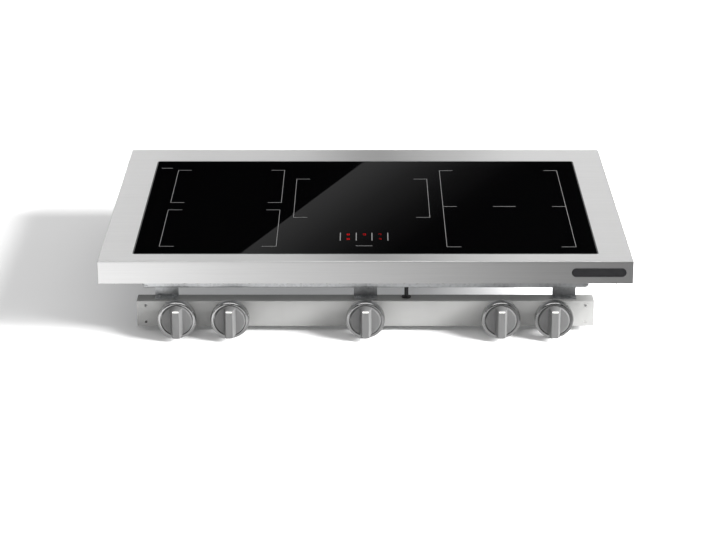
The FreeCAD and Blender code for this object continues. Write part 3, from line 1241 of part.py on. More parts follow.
def make_spacer(zone, x):
    """The cup that passes through the panel and holds the bezel off the rail."""
    body = new_body("spacer_" + zone)
    profile = sketch(body, "spacer_profile_" + zone, "XZ_Plane")
    hole, floor = "bushing_radius + bushing_play", "spacer_floor - panel_gap"
    polygon(profile, [
        (hole, "-panel_gap"), ("spacer_radius", "-panel_gap"), ("spacer_radius", "0"),
        ("spacer_radius - spacer_wall", "0"), ("spacer_radius - spacer_wall", floor),
        (hole, floor)])
    revolve(body, profile)
    return on_knob_axis(body, x)


def make_encoder(zone, x):
    """A rotary encoder behind the rail, its threaded bushing and the nut on it."""
    face = "-panel_gap - rail_gauge"
    rear = f"{face} - encoder_depth"
    square = middle_span("0", "encoder_side")
    housing = box("encoder_housing_" + zone, square, square, (rear, face))
    bushing = rod("encoder_bushing_" + zone, "bushing_radius", "0", "0",
                  (face, f"{face} + bushing_reach"))
    key = box("encoder_key_" + zone, middle_span("0", "key_width"),
              middle_span("-key_drop", "key_width"), (face, f"{face} + key_reach"))
    way = rod("encoder_way_" + zone, "shaft_radius + fit_gap", "0", "0",
              (f"{rear} + way_floor", f"{face} + bushing_reach + overcut"))
    pins = [box(f"encoder_pin_{zone}{i + 2}", middle_span(f"{i} * pin_pitch", "pin_width"),
                middle_span("0", "pin_gauge"), (f"{rear} - pin_length", rear))
            for i in range(-2, 3)]
    solid = cut("encoder_" + zone, fuse("encoder_body_" + zone, housing, bushing, key, *pins), way)
    seat = "spacer_floor - panel_gap"
    nut = cut("nut_" + zone,
              hexagon("nut_hexagon_" + zone, "locknut_across",
                      (seat, f"{seat} + locknut_height")),
              rod("nut_way_" + zone, "bushing_radius", "0", "0", ("-panel_gap", "0")))
    return on_knob_axis(solid, x), on_knob_axis(nut, x)


def make_knob(zone, x):
    """A cast knob: a hollow skirt, a grip across it with round ends, and a bore with a flat."""
    body = new_body("knob_" + zone)
    profile = sketch(body, "skirt_" + zone, "XZ_Plane")
    inside, under = "knob_radius - skirt_wall", "knob_face - skirt_face"
    polygon(profile, [
        ("0", "knob_back"), ("hub_radius", "knob_back"), ("hub_radius", under),
        (inside, under), (inside, "knob_back"),
        ("knob_radius", "knob_back"), ("knob_radius", "knob_face - knob_rim"),
        ("knob_radius - knob_rim", "knob_face"), ("0", "knob_face")])
    revolve(body, profile)

    crest = "knob_face + grip_height"
    section = sketch(body, "grip_" + zone, "XZ_Plane")
    polygon(section, [
        ("-grip_width / 2", "knob_face - grip_root"), ("grip_width / 2", "knob_face - grip_root"),
        ("grip_crest / 2", crest), ("-grip_crest / 2", crest)])
    pad(body, section, "2 * knob_radius", both_ways=True)
    ends = sketch(body, "grip_ends_" + zone, offset="knob_face - grip_root")
    circle(ends, "2 * knob_radius")
    circle(ends, "grip_reach")
    rounded_grip = pocket(body, ends, "grip_height + overcut", upwards=True)
    front = size(crest)
    dress(body, "Fillet", "grip_edges_" + zone, rounded_grip, "Radius", "grip_round",
          lambda e: at_level(e, front))

    bore = sketch(body, "bore_" + zone, offset="knob_back")
    flatted_circle(bore, "shaft_radius + bore_play", "shaft_flat + bore_play")
    pocket(body, bore, "hub_depth", upwards=True)
    groove = sketch(body, "groove_" + zone, offset=crest)
    rectangle(groove, "mark_length", "mark_width", y="mark_height")
    circle(groove, "dot_radius", y="mark_height - dot_drop")
    pocket(body, groove, "mark_depth")
    publish(on_knob_axis(body, x), "knob_" + zone)

    mark = new_body("mark_" + zone)
    fill = sketch(mark, "mark_fill_" + zone, offset=f"{crest} - mark_depth")
    rectangle(fill, "mark_length - 2 * mark_play", "mark_width - 2 * mark_play", y="mark_height")
    pad(mark, fill, "mark_depth + mark_proud")
    publish(on_knob_axis(mark, x), "knob_mark_" + zone)

    shaft = new_body("shaft_" + zone)
    rear = "way_floor + shaft_seat - panel_gap - rail_gauge - encoder_depth"
    whole = sketch(shaft, "shaft_round_" + zone, offset=rear)
    circle(whole, "shaft_radius")
    pad(shaft, whole, f"flat_start - ({rear})")
    flatted = sketch(shaft, "shaft_flat_" + zone, offset="flat_start")
    flatted_circle(flatted, "shaft_radius", "shaft_flat")
    pad(shaft, flatted, "knob_back + hub_depth - shaft_tip - flat_start")
    publish(on_knob_axis(shaft, x), "knob_shaft_" + zone)


def make_controls():
    bezels, spacers, encoders, nuts = [], [], [], []
    for zone, x in KNOBS:
        make_knob(zone, x)
        bezels.append(make_bezel(zone, x))
        spacers.append(make_spacer(zone, x))
        encoder, nut = make_encoder(zone, x)
        encoders.append(encoder)
        nuts.append(nut)
    publish(group("bezel_group", bezels), "knob_bezels")
    publish(group("spacer_group", spacers), "panel_spacers")
    publish(group("encoder_group", encoders), "rotary_encoders")
    publish(group("nut_group", nuts), "encoder_nuts")


# ---- checks and export ---------------------------------------------------------------------------
def check():
    """Stops if anything failed to recompute, or a sub-part isn't made of valid closed solids."""
    failed = [o.Label for o in doc.Objects if {"Invalid", "Error"} & set(o.State)]
    for part in subparts:
        shape = part.Shape
        if shape.isNull() or not shape.isValid() or not shape.Solids:
            failed.append(part.Label)
        elif any(not s.isClosed() or s.Volume <= 0 for s in shape.Solids):
            failed.append(part.Label)
    if failed:
        raise SystemExit(f"these failed: {sorted(set(failed))}")


def export():
    os.makedirs("parts", exist_ok=True)
    for part in subparts:
        part.Shape.exportStep(f"parts/{part.Label}.step")
        print(f"{part.Label:28s} solids {len(part.Shape.Solids):3d}  "
              f"volume {part.Shape.Volume / 1000:10.2f} cm3")
    print(len(subparts), "sub-parts")


make_top_frame()
make_glass_plate()
make_glass_seal()
make_glass_support_frame()
make_front_badge()
make_fixing_brackets()
make_base_tray()
make_tray_bolts()
make_coil_carriers()
make_coils()
for sign, word in ((-1, "left"), (1, "right")):
    make_power_module(sign, word)
    make_blower(sign, word)
make_filter_board()
make_display()
make_terminal_box()
make_terminal_block()
make_terminal_cover()
make_cable_gland()
make_control_rail()
make_rail_hangers()
make_control_cable()
make_controls()
doc.recompute()
check()
export()
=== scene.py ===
"""The looks of a built-in induction cooktop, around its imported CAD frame.

Lengths are in metres, in the CAD frame: +X right, +Y to the rear, +Z up, with the origin on the
plane where the steel top rests on the cabinet.
"""
import json
import math

import bpy
from mathutils import Matrix, Vector


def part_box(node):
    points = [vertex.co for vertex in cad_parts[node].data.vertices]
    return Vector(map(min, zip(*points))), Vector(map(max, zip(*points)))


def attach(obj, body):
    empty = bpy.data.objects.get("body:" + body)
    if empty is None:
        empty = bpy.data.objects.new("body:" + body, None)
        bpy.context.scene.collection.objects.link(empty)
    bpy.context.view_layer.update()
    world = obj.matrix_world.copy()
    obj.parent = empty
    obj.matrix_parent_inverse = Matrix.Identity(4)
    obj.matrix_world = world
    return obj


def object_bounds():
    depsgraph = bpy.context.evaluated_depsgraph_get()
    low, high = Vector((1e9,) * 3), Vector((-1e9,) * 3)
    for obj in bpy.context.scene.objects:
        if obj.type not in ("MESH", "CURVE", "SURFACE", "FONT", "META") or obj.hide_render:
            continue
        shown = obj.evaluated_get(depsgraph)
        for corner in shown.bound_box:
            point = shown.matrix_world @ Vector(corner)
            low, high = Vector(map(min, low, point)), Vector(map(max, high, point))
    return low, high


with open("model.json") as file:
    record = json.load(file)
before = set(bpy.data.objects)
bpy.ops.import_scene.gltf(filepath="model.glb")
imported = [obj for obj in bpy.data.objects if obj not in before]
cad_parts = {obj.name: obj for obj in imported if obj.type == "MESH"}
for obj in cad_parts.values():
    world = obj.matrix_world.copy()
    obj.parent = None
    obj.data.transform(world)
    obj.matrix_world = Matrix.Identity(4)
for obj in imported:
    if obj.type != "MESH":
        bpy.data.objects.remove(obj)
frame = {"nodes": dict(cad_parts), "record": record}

cad_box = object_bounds()
NODES = frame["nodes"]
MM = 0.001
GLASS_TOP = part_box("glass_plate")[1].z

# Printed marks on the glass.
PRINT_THICKNESS = 0.05 * MM
SIDE_WIDTH, ARM_WIDTH = 0.8 * MM, 1.3 * MM
ARM = 25 * MM
ZONE_EDGES = {  # left, right, front and rear edge of each marked zone
    "left_rear": (-351 * MM, -151 * MM, -7 * MM, 186 * MM),
    "left_front": (-352 * MM, -152 * MM, -243 * MM, -47 * MM),
    "centre": (-127.5 * MM, 114.3 * MM, -90 * MM, 132 * MM),
    "right_flex": (138.5 * MM, 359.3 * MM, -246 * MM, 184 * MM),
}
FLEX_SPLIT = -29 * MM
TICK_SIDES = (-43.4 * MM, -15.9 * MM, 11.2 * MM, 38.6 * MM)
TICK_FRONT, TICK_REAR = -213 * MM, -172 * MM
TICK_WIDTH = 1.5 * MM
DASH_ROWS = (  # left, right and middle of the rows of plain dashes, and their length
    (-383 * MM, -363 * MM, 198 * MM, 1.6 * MM),
    (229.4 * MM, 268.6 * MM, -28.7 * MM, 2.2 * MM),
    (-16.6 * MM, 11.7 * MM, -240 * MM, 1.9 * MM),
)
DASH_WIDTH = 2.2 * MM
DASH_PITCH = 1.35        # in lengths of a dash

# Lit digits of the level display.
SEGMENT_WIDTH, SEGMENT_GAP = 1.2 * MM, 0.2 * MM
DIGIT_WIDTH, DIGIT_HEIGHT = 4 * MM, 7 * MM
DIGITS = (  # x, y, segments lit, brightness
    (-29.7 * MM, -181 * MM, "abcdefg", "bright"),
    (-29.7 * MM, -205 * MM, "abcdefg", "bright"),
    (-1.9 * MM, -181 * MM, "abcdf", "bright"),
    (24.9 * MM, -181 * MM, "abcf", "dim"),
    (24.9 * MM, -205 * MM, "abcg", "dim"),
)
DIGIT_LEVELS = {"bright": 0.62, "dim": 0.3}


# ---- meshes --------------------------------------------------------------------------------------
def new_piece(name, mesh, body="root"):
    """A flat-shaded Blender piece that moves with a body."""
    piece = bpy.data.objects.new(name, mesh)
    bpy.context.scene.collection.objects.link(piece)
    for face in mesh.polygons:
        face.use_smooth = False
    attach(piece, body)
    return piece


def prisms(name, outlines, low, high):
    """One mesh of flat-topped prisms, one for each outline of (x, y) points, from low to high."""
    vertices, faces = [], []
    for outline in outlines:
        base, count = len(vertices), len(outline)
        vertices += [(x, y, low) for x, y in outline] + [(x, y, high) for x, y in outline]
        faces.append(tuple(base + i for i in reversed(range(count))))
        faces.append(tuple(base + count + i for i in range(count)))
        for i in range(count):
            j = (i + 1) % count
            faces.append((base + i, base + j, base + count + j, base + count + i))
    mesh = bpy.data.meshes.new(name)
    mesh.from_pydata(vertices, [], faces)
    mesh.validate()
    return mesh


def bar(x0, x1, y0, y1):
    return [(x0, y0), (x1, y0), (x1, y1), (x0, y1)]


def bracket(corner_x, towards, front, rear):
    """A square bracket: a long side at corner_x, and an arm at each end that points towards."""
    w = ARM_WIDTH
    inner, tip = corner_x + towards * SIDE_WIDTH, corner_x + towards * ARM
    outline = [(corner_x, front), (tip, front), (tip, front + w), (inner, front + w),
               (inner, rear - w), (tip, rear - w), (tip, rear), (corner_x, rear)]
    return outline if towards > 0 else outline[::-1]


def dashes(left, right, middle, length):
    count = max(2, round((right - left) / (DASH_PITCH * length)))
    pitch = (right - left - length) / (count - 1)
    return [bar(left + i * pitch, left + i * pitch + length, middle - DASH_WIDTH / 2,
                middle + DASH_WIDTH / 2) for i in range(count)]


def segment(x, y, length, upright):
    """A six-sided segment of a digit, centred on (x, y)."""
    half, w = length / 2, SEGMENT_WIDTH / 2
    outline = [(-half, 0), (-half + w, -w), (half - w, -w), (half, 0), (half - w, w),
               (-half + w, w)]
    if upright:
        outline = [(-v, u) for u, v in outline]
    return [(x + u, y + v) for u, v in outline]


def digit(x, y, lit):
    half_w, half_h = DIGIT_WIDTH / 2, DIGIT_HEIGHT / 2
    places = {
        "a": (0, half_h, False), "g": (0, 0, False), "d": (0, -half_h, False),
        "f": (-half_w, half_h / 2, True), "b": (half_w, half_h / 2, True),
        "e": (-half_w, -half_h / 2, True), "c": (half_w, -half_h / 2, True),
    }
    made = []
    for letter in lit:
        dx, dy, upright = places[letter]
        length = (half_h if upright else DIGIT_WIDTH) - SEGMENT_GAP
        made.append(segment(x + dx, y + dy, length, upright))
    return made


def make_prints(materials):
    """The pale prints on the glass, and the red digits that shine through it."""
    low, high = GLASS_TOP, GLASS_TOP + PRINT_THICKNESS
    outlines = []
    for left, right, front, rear in ZONE_EDGES.values():
        outlines += [bracket(left, 1, front, rear), bracket(right, -1, front, rear)]
    left, right = ZONE_EDGES["right_flex"][:2]
    half = ARM_WIDTH / 2
    outlines.append(bar(left + SIDE_WIDTH, left + ARM, FLEX_SPLIT - half, FLEX_SPLIT + half))
    outlines.append(bar(right - ARM, right - SIDE_WIDTH, FLEX_SPLIT - half, FLEX_SPLIT + half))
    zone_marks = new_piece("zone_marks", prisms("zone_marks", outlines, low, high))
    ticks = [bar(x - TICK_WIDTH / 2, x + TICK_WIDTH / 2, TICK_FRONT, TICK_REAR)
             for x in TICK_SIDES]
    display_ticks = new_piece("display_ticks", prisms("display_ticks", ticks, low, high))
    rows = [outline for row in DASH_ROWS for outline in dashes(*row)]
    glass_dashes = new_piece("glass_dashes", prisms("glass_dashes", rows, low, high))
    for piece in (zone_marks, display_ticks, glass_dashes):
        piece.data.materials.append(materials["print"])
    for word in DIGIT_LEVELS:
        lit = [o for x, y, letters, level in DIGITS if level == word
               for o in digit(x, y, letters)]
        name = f"display_digits_{word}"
        piece = new_piece(name, prisms(name, lit, low, high))
        piece.data.materials.append(materials["digit_" + word])


# ---- materials -----------------------------------------------------------------------------------
class Paint:
    """A node-based material, with short calls for the nodes that the materials here share."""

    def __init__(self, name, colour, roughness, metallic=0.0, **sockets):
        self.material = bpy.data.materials.new(name)
        self.material.use_nodes = True
        self.tree = self.material.node_tree
        self.shader = self.tree.nodes["Principled BSDF"]
        self.shader.inputs["Base Color"].default_value = (*colour, 1)
        self.shader.inputs["Roughness"].default_value = roughness
        self.shader.inputs["Metallic"].default_value = metallic
        for socket, value in sockets.items():
            self.shader.inputs[socket.replace("_", " ")].default_value = value

    def node(self, kind, inputs=None, **settings):
        made = self.tree.nodes.new(kind)
        for key, value in settings.items():
            setattr(made, key, value)
        for key, value in (inputs or {}).items():
            if isinstance(value, bpy.types.NodeSocket):
                self.tree.links.new(value, made.inputs[key])
            else:
                made.inputs[key].default_value = value
        return made

    def place(self, scale=(1, 1, 1)):
        coords = self.node("ShaderNodeTexCoord").outputs["Object"]
        inputs = {"Vector": coords, "Scale": scale}
        return self.node("ShaderNodeMapping", inputs).outputs["Vector"]

    def noise(self, scale, stretch=(1, 1, 1), detail=4, roughness=0.6):
        inputs = {"Vector": self.place(stretch), "Scale": scale, "Detail": detail,
                  "Roughness": roughness}
        return self.node("ShaderNodeTexNoise", inputs).outputs["Fac"]

    def cells(self, scale):
        inputs = {"Vector": self.place(), "Scale": scale}
        return self.node("ShaderNodeTexVoronoi", inputs).outputs["Color"]

    def spread(self, source, low, high, start=0.3, end=0.7):
        """The source, from start to end, as a number from low to high."""
        inputs = {"Value": source, "From Min": start, "From Max": end, "To Min": low,
                  "To Max": high}
        return self.node("ShaderNodeMapRange", inputs).outputs["Result"]

    def blend(self, source, low, high, start=0.3, end=0.7):
        """The source, from start to end, as a colour from low to high."""
        ramp = self.node("ShaderNodeValToRGB", {"Fac": source})
        for stop, position, colour in zip(ramp.color_ramp.elements, (start, end), (low, high)):
            stop.position = position
            stop.color = (*colour, 1)
        return ramp.outputs["Color"]

    def add(self, first, second, share):
        """The first number, with a share of the second one."""
        inputs = {0: second, 1: share, 2: first}
        return self.node("ShaderNodeMath", inputs, operation="MULTIPLY_ADD").outputs[0]

    def colour(self, output):
        self.tree.links.new(output, self.shader.inputs["Base Color"])
        return self

    def rough(self, output):
        self.tree.links.new(output, self.shader.inputs["Roughness"])
        return self

    def bump(self, height, strength, distance):
        inputs = {"Height": height, "Strength": strength, "Distance": distance}
        normal = self.node("ShaderNodeBump", inputs).outputs["Normal"]
        self.tree.links.new(normal, self.shader.inputs["Normal"])
        return self

    def grain(self, along):
        """Stretches highlights across a grain that runs along a direction of the surface."""
        normal = self.node("ShaderNodeNewGeometry").outputs["Normal"]
        inputs = {0: normal, 1: along}
        across = self.node("ShaderNodeVectorMath", inputs, operation="CROSS_PRODUCT").outputs[0]
        self.tree.links.new(across, self.shader.inputs["Tangent"])
        return self


def brushed_steel():
    """The top: sheet brushed from side to side, with long faint streaks and a few rub marks."""
    paint = Paint("brushed_steel", (0.7, 0.7, 0.7), 0.3, 1.0, Anisotropic=0.9)
    fine = paint.noise(900, (0.012, 1, 1), detail=6, roughness=0.7)
    broad = paint.noise(120, (0.01, 1, 1), detail=3)
    cloud = paint.noise(5, detail=3)
    streaks = paint.add(fine, broad, 0.6)
    paint.colour(paint.blend(streaks, (0.67, 0.669, 0.667), (0.73, 0.729, 0.727), 0.5, 1.1))
    paint.rough(paint.spread(paint.add(streaks, cloud, 0.5), 0.29, 0.34, 0.7, 1.4))
    paint.bump(streaks, 0.07, 0.00006)
    return paint.grain((1, 0, 0.02))


def black_glass():
    """Glass-ceramic: deep black, with a little dust and wiping haze in its gloss."""
    paint = Paint("black_glass", (0.0006, 0.0006, 0.0007), 0.01, IOR=1.5)
    haze = paint.noise(9, (1, 0.4, 1), detail=5)
    specks = paint.noise(1400, detail=2)
    paint.rough(paint.spread(paint.add(haze, specks, 0.15), 0.004, 0.024, 0.45, 0.85))
    return paint


def black_silicone():
    paint = Paint("black_silicone", (0.012, 0.012, 0.012), 0.55)
    grain = paint.noise(600, detail=3)
    paint.rough(paint.spread(grain, 0.48, 0.66))
    return paint.bump(grain, 0.2, 0.0001)


def zinc_steel():
    """Galvanised sheet with its spangle."""
    paint = Paint("zinc_steel", (0.55, 0.56, 0.57), 0.42, 0.95)
    spangle = paint.cells(260)
    haze = paint.noise(14, detail=4)
    tone = paint.node("ShaderNodeRGBToBW", {"Color": spangle}).outputs[0]
    mixed = paint.add(tone, haze, 0.7)
    paint.colour(paint.blend(mixed, (0.5, 0.51, 0.52), (0.64, 0.65, 0.66), 0.3, 1.3))
    paint.rough(paint.spread(mixed, 0.38, 0.5, 0.4, 1.2))
    return paint.bump(haze, 0.08, 0.0002)


def rail_paint():
    """Grey powder coat, with its fine orange peel."""
    paint = Paint("rail_paint", (0.26, 0.26, 0.255), 0.5)
    cloud, peel = paint.noise(12, detail=3), paint.noise(700, detail=2)
    paint.colour(paint.blend(cloud, (0.245, 0.245, 0.24), (0.275, 0.275, 0.27)))
    paint.rough(paint.spread(peel, 0.42, 0.58))
    return paint.bump(peel, 0.3, 0.0001)


def badge_enamel():
    """Dark enamel on the blank badge, a little worn at random."""
    paint = Paint("badge_enamel", (0.007, 0.007, 0.008), 0.45)
    wear = paint.noise(160, detail=5)
    paint.colour(paint.blend(wear, (0.005, 0.005, 0.006), (0.009, 0.009, 0.01)))
    return paint.rough(paint.spread(wear, 0.4, 0.55))


def aluminium():
    paint = Paint("aluminium", (0.72, 0.72, 0.74), 0.4, 1.0)
    rolled = paint.noise(500, (1, 0.02, 1), detail=5)
    paint.colour(paint.blend(rolled, (0.64, 0.64, 0.66), (0.78, 0.78, 0.8)))
    paint.rough(paint.spread(rolled, 0.34, 0.5))
    return paint.bump(rolled, 0.1, 0.0001)


def copper_litz():
    """Enamelled strands, finer than a turn of the winding."""
    paint = Paint("copper_litz", (0.55, 0.22, 0.09), 0.36, 0.9)
    strands = paint.noise(1600, detail=3)
    paint.colour(paint.blend(strands, (0.36, 0.13, 0.05), (0.72, 0.33, 0.15)))
    paint.rough(paint.spread(strands, 0.28, 0.46))
    return paint.bump(strands, 0.5, 0.0003)


def plastic(name, dark, light, roughness):
    """Moulded plastic with a fine spark-eroded grain."""
    paint = Paint(name, light, roughness)
    cloud, grain = paint.noise(25, detail=3), paint.noise(900, detail=2)
    paint.colour(paint.blend(cloud, dark, light))
    paint.rough(paint.spread(grain, roughness - 0.06, roughness + 0.08))
    return paint.bump(grain, 0.25, 0.0001)


def ferrite():
    paint = Paint("ferrite", (0.05, 0.05, 0.055), 0.7)
    pores = paint.noise(1200, detail=4)
    paint.colour(paint.blend(pores, (0.035, 0.035, 0.04), (0.085, 0.085, 0.09)))
    return paint.bump(pores, 0.4, 0.0002)


def mica():
    paint = Paint("mica", (0.6, 0.5, 0.33), 0.45)
    flakes = paint.cells(140)
    tone = paint.node("ShaderNodeRGBToBW", {"Color": flakes}).outputs[0]
    paint.colour(paint.blend(tone, (0.45, 0.36, 0.22), (0.7, 0.6, 0.42)))
    return paint.rough(paint.spread(tone, 0.3, 0.6))


def circuit_board():
    """Solder mask over a pattern of tracks and pads."""
    paint = Paint("circuit_board", (0.02, 0.16, 0.07), 0.35)
    inputs = {"Vector": paint.place(), "Scale": 60.0, "Mortar Size": 0.03,
              "Color1": (0.012, 0.11, 0.045, 1), "Color2": (0.018, 0.15, 0.06, 1),
              "Mortar": (0.05, 0.26, 0.12, 1)}
    tracks = paint.node("ShaderNodeTexBrick", inputs)
    paint.colour(tracks.outputs["Color"])
    return paint.bump(tracks.outputs["Fac"], 0.3, 0.0002)


def knob_metal():
    """Satin metal, brushed along the grip."""
    paint = Paint("knob_metal", (0.12, 0.12, 0.12), 0.4, 0.2, Anisotropic=0.3)
    fine = paint.noise(1500, (1, 1, 0.02), detail=5)
    cloud = paint.noise(40, detail=2)
    paint.colour(paint.blend(fine, (0.105, 0.105, 0.105), (0.135, 0.135, 0.135)))
    paint.rough(paint.spread(paint.add(fine, cloud, 0.5), 0.38, 0.48, 0.45, 1.05))
    paint.bump(fine, 0.12, 0.00005)
    return paint.grain((0.02, 0, 1))


def polished_steel():
    """Turned and polished rings."""
    paint = Paint("polished_steel", (0.45, 0.45, 0.45), 0.2, 1.0)
    smear = paint.noise(120, detail=4)
    paint.rough(paint.spread(smear, 0.16, 0.28))
    return paint.bump(paint.noise(2500, detail=2), 0.04, 0.00003)


def turned_steel():
    paint = Paint("turned_steel", (0.55, 0.55, 0.56), 0.25, 1.0)
    tool = paint.noise(1800, (0.05, 1, 0.05), detail=3)
    paint.rough(paint.spread(tool, 0.18, 0.34))
    return paint.bump(tool, 0.15, 0.00005)


def print_ink():
    """Pale ceramic print, slightly thin in places."""
    paint = Paint("print_ink", (0.09, 0.09, 0.09), 0.4)
    thin = paint.noise(700, detail=3)
    paint.colour(paint.blend(thin, (0.075, 0.075, 0.075), (0.11, 0.11, 0.11)))
    return paint.rough(paint.spread(thin, 0.35, 0.5))


# The knobs' white pointer mark: white enamel whose emission paints a glow on it, brighter than the
# light falling on it would make it.
def white_enamel_painted_glow():
    paint = Paint("white_enamel_painted_glow", (0.9, 0.9, 0.88), 0.3, Emission_Strength=0.35,
                  Emission_Color=(1, 1, 1, 1))
    return paint.rough(paint.spread(paint.noise(800, detail=2), 0.24, 0.4))


def lit_digit(name, level):
    """Red light behind dark glass."""
    paint = Paint(name, (0.03, 0.001, 0.001), 0.6, Emission_Strength=level,
                  Specular_IOR_Level=0.0)
    glow = paint.noise(900, detail=2)
    shade = paint.blend(glow, (0.8, 0.004, 0.006), (1.0, 0.008, 0.01))
    paint.tree.links.new(shade, paint.shader.inputs["Emission Color"])
    return paint


def make_materials():
    made = {
        "brushed_steel": brushed_steel(),
        "black_glass": black_glass(),
        "black_silicone": black_silicone(),
        "zinc_steel": zinc_steel(),
        "rail_paint": rail_paint(),
        "badge_enamel": badge_enamel(),
        "aluminium": aluminium(),
        "copper_litz": copper_litz(),
        "white_plastic": plastic("white_plastic", (0.7, 0.68, 0.63), (0.8, 0.78, 0.73), 0.5),
        "ferrite": ferrite(),
        "mica": mica(),
        "circuit_board": circuit_board(),
        "black_plastic": plastic("black_plastic", (0.018, 0.018, 0.02), (0.03, 0.03, 0.032),
                                 0.5),
        "terminal_plastic": plastic("terminal_plastic", (0.6, 0.57, 0.5), (0.72, 0.7, 0.64),
                                    0.45),
        "red_display": plastic("red_display", (0.14, 0.01, 0.01), (0.2, 0.012, 0.012), 0.3),
        "knob_metal": knob_metal(),
        "polished_steel": polished_steel(),
        "white_mark": white_enamel_painted_glow(),
        "shaft_steel": turned_steel(),
        "print": print_ink(),
        "digit_bright": lit_digit("digit_bright", DIGIT_LEVELS["bright"]),
        "digit_dim": lit_digit("digit_dim", DIGIT_LEVELS["dim"]),
    }
    return {name: paint.material for name, paint in made.items()}


def paint_nodes(materials):
    """Gives every CAD node the material of its slot."""
    for row in frame["record"]["subparts"]:
        node = NODES[row["node"]]
        node.data.materials.clear()
        node.data.materials.append(materials[row["material_slot"]])


# ---- stage ---------------------------------------------------------------------------------------
CAMERA_PLACE = Vector((-2.5 * MM, -3965.9 * MM, 1358.4 * MM))
CAMERA_TILT = math.radians(20.087)
LENS, SENSOR = 114.57, 36.0
FLOOR_LEVEL = cad_box[0].z
FLOOR_REACH = 30.0
AMBIENT = 0.68                      # what the world gives to all but reflections
KEY_WATTS = 900
KEY_PLACE, KEY_SIZE = (3.5, -1.05, 1.75), (2.2, 1.8)

# Brightness of the panels that only reflections see. The rear strip of the steel answers mostly
# to the low panel, the fascia to the front one, and the fold above it to the front ceiling.
LOW_LEVEL, HIGH_LEVEL, CEILING_LEVEL, FRONT_LEVEL = 3.0, 1.17, 0.6, 1.7
FOLD_LEVEL, SIDE_LEVEL, FLOOR_GLOW, SHEEN_LEVEL = 2.5, 0.5, 0.62, 0.16

BACK, BACK_HALF = 3.0, 3.5          # the back panels' distance, and half their width
LOW_EDGE, HIGH_EDGE = 0.3, 3.92     # bottom of the low back panel, top of the high one
SLOT_LOW, SLOT_HIGH = 0.80, 1.32    # between these heights the glass mirrors the dark
CEILING, CEILING_HALF = 3.9, 2.5    # the ceiling panels' height, and half their width
CEILING_FRONT, CEILING_REAR = -2.0, 2.5
FOLD_FRONT = -4.2                   # the front ceiling panel runs from here to CEILING_FRONT
FRONT_HALF = 1.6                    # the front panel lies on the floor before the object
FRONT_NEAR, FRONT_FAR = -3.2, -0.345
SIDE_PLACE, SIDE_HALF = 3.2, 3.0    # the side panels stand at -SIDE_PLACE and SIDE_PLACE
SIDE_LOW, SIDE_HEIGHT = -0.1, 3.6
LIFT = 1 * MM                       # keeps one flat panel clear of the next
SHEEN_CORNER = (-0.006, BACK - 0.01, 0.905)
SHEEN_START, SHEEN_LENGTH, SHEEN_WIDTH = 0.4, 1.4, 0.35


def make_camera():
    data = bpy.data.cameras.new("camera")
    data.lens, data.sensor_width = LENS, SENSOR
    data.clip_start, data.clip_end = 0.05, 200
    camera = bpy.data.objects.new("camera", data)
    camera.location = CAMERA_PLACE
    camera.rotation_euler = (math.pi / 2 - CAMERA_TILT, 0, 0)
    bpy.context.scene.collection.objects.link(camera)
    bpy.context.scene.camera = camera


def staged(name, material, corner, right, up, lamp=True):
    """A rectangle from a corner along two sides. A lamp panel shows only in reflections."""
    corner, right, up = Vector(corner), Vector(right), Vector(up)
    mesh = bpy.data.meshes.new(name)
    w, h = right.length, up.length
    mesh.from_pydata([(0, 0, 0), (w, 0, 0), (w, h, 0), (0, h, 0)], [], [(0, 1, 2, 3)])
    mesh.materials.append(material)
    obj = bpy.data.objects.new(name, mesh)
    x, y = right.normalized(), up.normalized()
    turn = Matrix((x, y, x.cross(y))).transposed()
    obj.matrix_world = Matrix.Translation(corner) @ turn.to_4x4()
    bpy.context.scene.collection.objects.link(obj)
    if lamp:
        obj.visible_camera = obj.visible_diffuse = obj.visible_shadow = False
    return obj


def glow(name, strength, stops=None, along=0):
    """An emitting material. stops are (position, level) along a side of the panel."""
    material = bpy.data.materials.new(name)
    material.use_nodes = True
    nodes, links = material.node_tree.nodes, material.node_tree.links
    nodes.clear()
    emission, output = nodes.new("ShaderNodeEmission"), nodes.new("ShaderNodeOutputMaterial")
    emission.inputs["Strength"].default_value = strength
    links.new(emission.outputs[0], output.inputs["Surface"])
    if stops:
        coords, split = nodes.new("ShaderNodeTexCoord"), nodes.new("ShaderNodeSeparateXYZ")
        ramp = nodes.new("ShaderNodeValToRGB")
        links.new(coords.outputs["Generated"], split.inputs[0])
        links.new(split.outputs[along], ramp.inputs["Fac"])
        links.new(ramp.outputs["Color"], emission.inputs["Color"])
        while len(ramp.color_ramp.elements) < len(stops):
            ramp.color_ramp.elements.new(0.5)
        for stop, (position, level) in zip(ramp.color_ramp.elements, stops):
            stop.position = position
            stop.color = (level, level, level, 1)
    return material


def area_light(name, place, target, width, height, watts):
    data = bpy.data.lights.new(name, "AREA")
    data.shape, data.size, data.size_y, data.energy = "RECTANGLE", width, height, watts
    light = bpy.data.objects.new(name, data)
    light.location = place
    light.rotation_euler = (Vector(target) - Vector(place)).to_track_quat("-Z", "Y").to_euler()
    light.visible_glossy = False
    bpy.context.scene.collection.objects.link(light)


def make_floor():
    """A pale floor for the camera, and a dimmer panel just above it for reflections."""
    paint = Paint("floor_white", (0.9, 0.9, 0.9), 0.8)
    paint.rough(paint.spread(paint.noise(3, detail=2), 0.75, 0.9))
    r = FLOOR_REACH
    floor = staged("floor", paint.material, (-r, -r, FLOOR_LEVEL), (2 * r, 0, 0), (0, 2 * r, 0),
                   lamp=False)
    floor.visible_glossy = False
    staged("floor_panel", glow("floor_glow", FLOOR_GLOW), (-r, -r, FLOOR_LEVEL + LIFT),
           (2 * r, 0, 0), (0, 2 * r, 0))


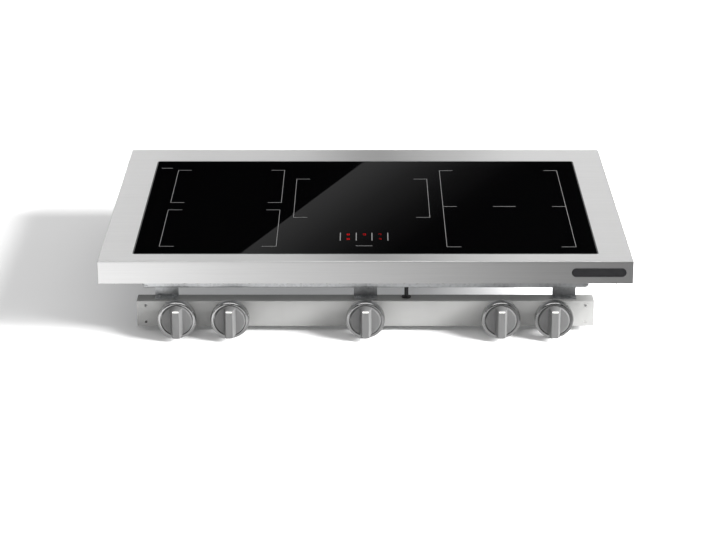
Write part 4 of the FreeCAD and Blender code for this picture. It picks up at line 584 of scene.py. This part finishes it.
def make_panels():
    """Softboxes that only reflections see."""
    dip = [(0.0, 1.0), (0.43, 1.0), (0.47, 0.85), (0.505, 0.2), (0.545, 0.85), (0.58, 1.0)]
    wide = (2 * BACK_HALF, 0, 0)
    staged("back_panel_high", glow("high_glow", HIGH_LEVEL, dip), (-BACK_HALF, BACK, SLOT_HIGH),
           wide, (0, 0, HIGH_EDGE - SLOT_HIGH))
    ends = [(0.34, 0.74), (0.41, 1.0)] + dip[1:5] + [(0.58, 1.0), (0.62, 0.95), (0.66, 0.86)]
    staged("back_panel_low", glow("low_glow", LOW_LEVEL, ends), (-BACK_HALF, BACK, LOW_EDGE),
           wide, (0, 0, SLOT_LOW - LOW_EDGE))
    wide = (2 * CEILING_HALF, 0, 0)
    staged("ceiling_panel", glow("ceiling_glow", CEILING_LEVEL),
           (-CEILING_HALF, CEILING_FRONT, CEILING), wide, (0, CEILING_REAR - CEILING_FRONT, 0))
    fall = [(0.355, 0.92), (0.433, 0.64), (0.5, 0.48), (0.6, 0.24), (0.65, 0.17)]
    staged("front_panel", glow("front_glow", FRONT_LEVEL, fall),
           (-FRONT_HALF, FRONT_NEAR, FLOOR_LEVEL + 2 * LIFT), (2 * FRONT_HALF, 0, 0),
           (0, FRONT_FAR - FRONT_NEAR, 0))
    staged("front_ceiling_panel", glow("front_ceiling_glow", FOLD_LEVEL),
           (-CEILING_HALF, FOLD_FRONT, CEILING), wide, (0, CEILING_FRONT - FOLD_FRONT, 0))
    for name, x in (("left_panel", -SIDE_PLACE), ("right_panel", SIDE_PLACE)):
        staged(name, glow(name + "_glow", SIDE_LEVEL), (x, -SIDE_HALF, SIDE_LOW),
               (0, 2 * SIDE_HALF, 0), (0, 0, SIDE_HEIGHT))
    # A sheen across the glass: brightest at a slanting edge, and fading to the right.
    along, across = Vector((-0.789, 0, 0.614)), Vector((0.614, 0, 0.789))
    start = Vector(SHEEN_CORNER) - SHEEN_START * along
    fade = [(0.0, 1.0), (0.12, 0.82), (0.34, 0.42), (0.6, 0.15), (0.86, 0.02), (1.0, 0.0)]
    staged("sheen_panel", glow("sheen_glow", SHEEN_LEVEL, fade, along=1), start,
           SHEEN_LENGTH * along, SHEEN_WIDTH * across)


def make_lights():
    """Even ambient light that reflections don't see, and a soft key from the right."""
    world = bpy.data.worlds.new("world")
    world.use_nodes = True
    bpy.context.scene.world = world
    tree = world.node_tree
    background = tree.nodes["Background"]
    background.inputs["Color"].default_value = (1, 1, 1, 1)
    path, level = tree.nodes.new("ShaderNodeLightPath"), tree.nodes.new("ShaderNodeMath")
    level.operation = "MULTIPLY_ADD"
    tree.links.new(path.outputs["Is Glossy Ray"], level.inputs[0])
    level.inputs[1].default_value = -AMBIENT
    level.inputs[2].default_value = AMBIENT
    tree.links.new(level.outputs[0], background.inputs["Strength"])
    area_light("key", KEY_PLACE, (0, 0, 0), *KEY_SIZE, KEY_WATTS)


make_camera()
materials = make_materials()
paint_nodes(materials)
make_prints(materials)
make_floor()
make_panels()
make_lights()
bpy.context.scene.view_settings.view_transform = "Standard"
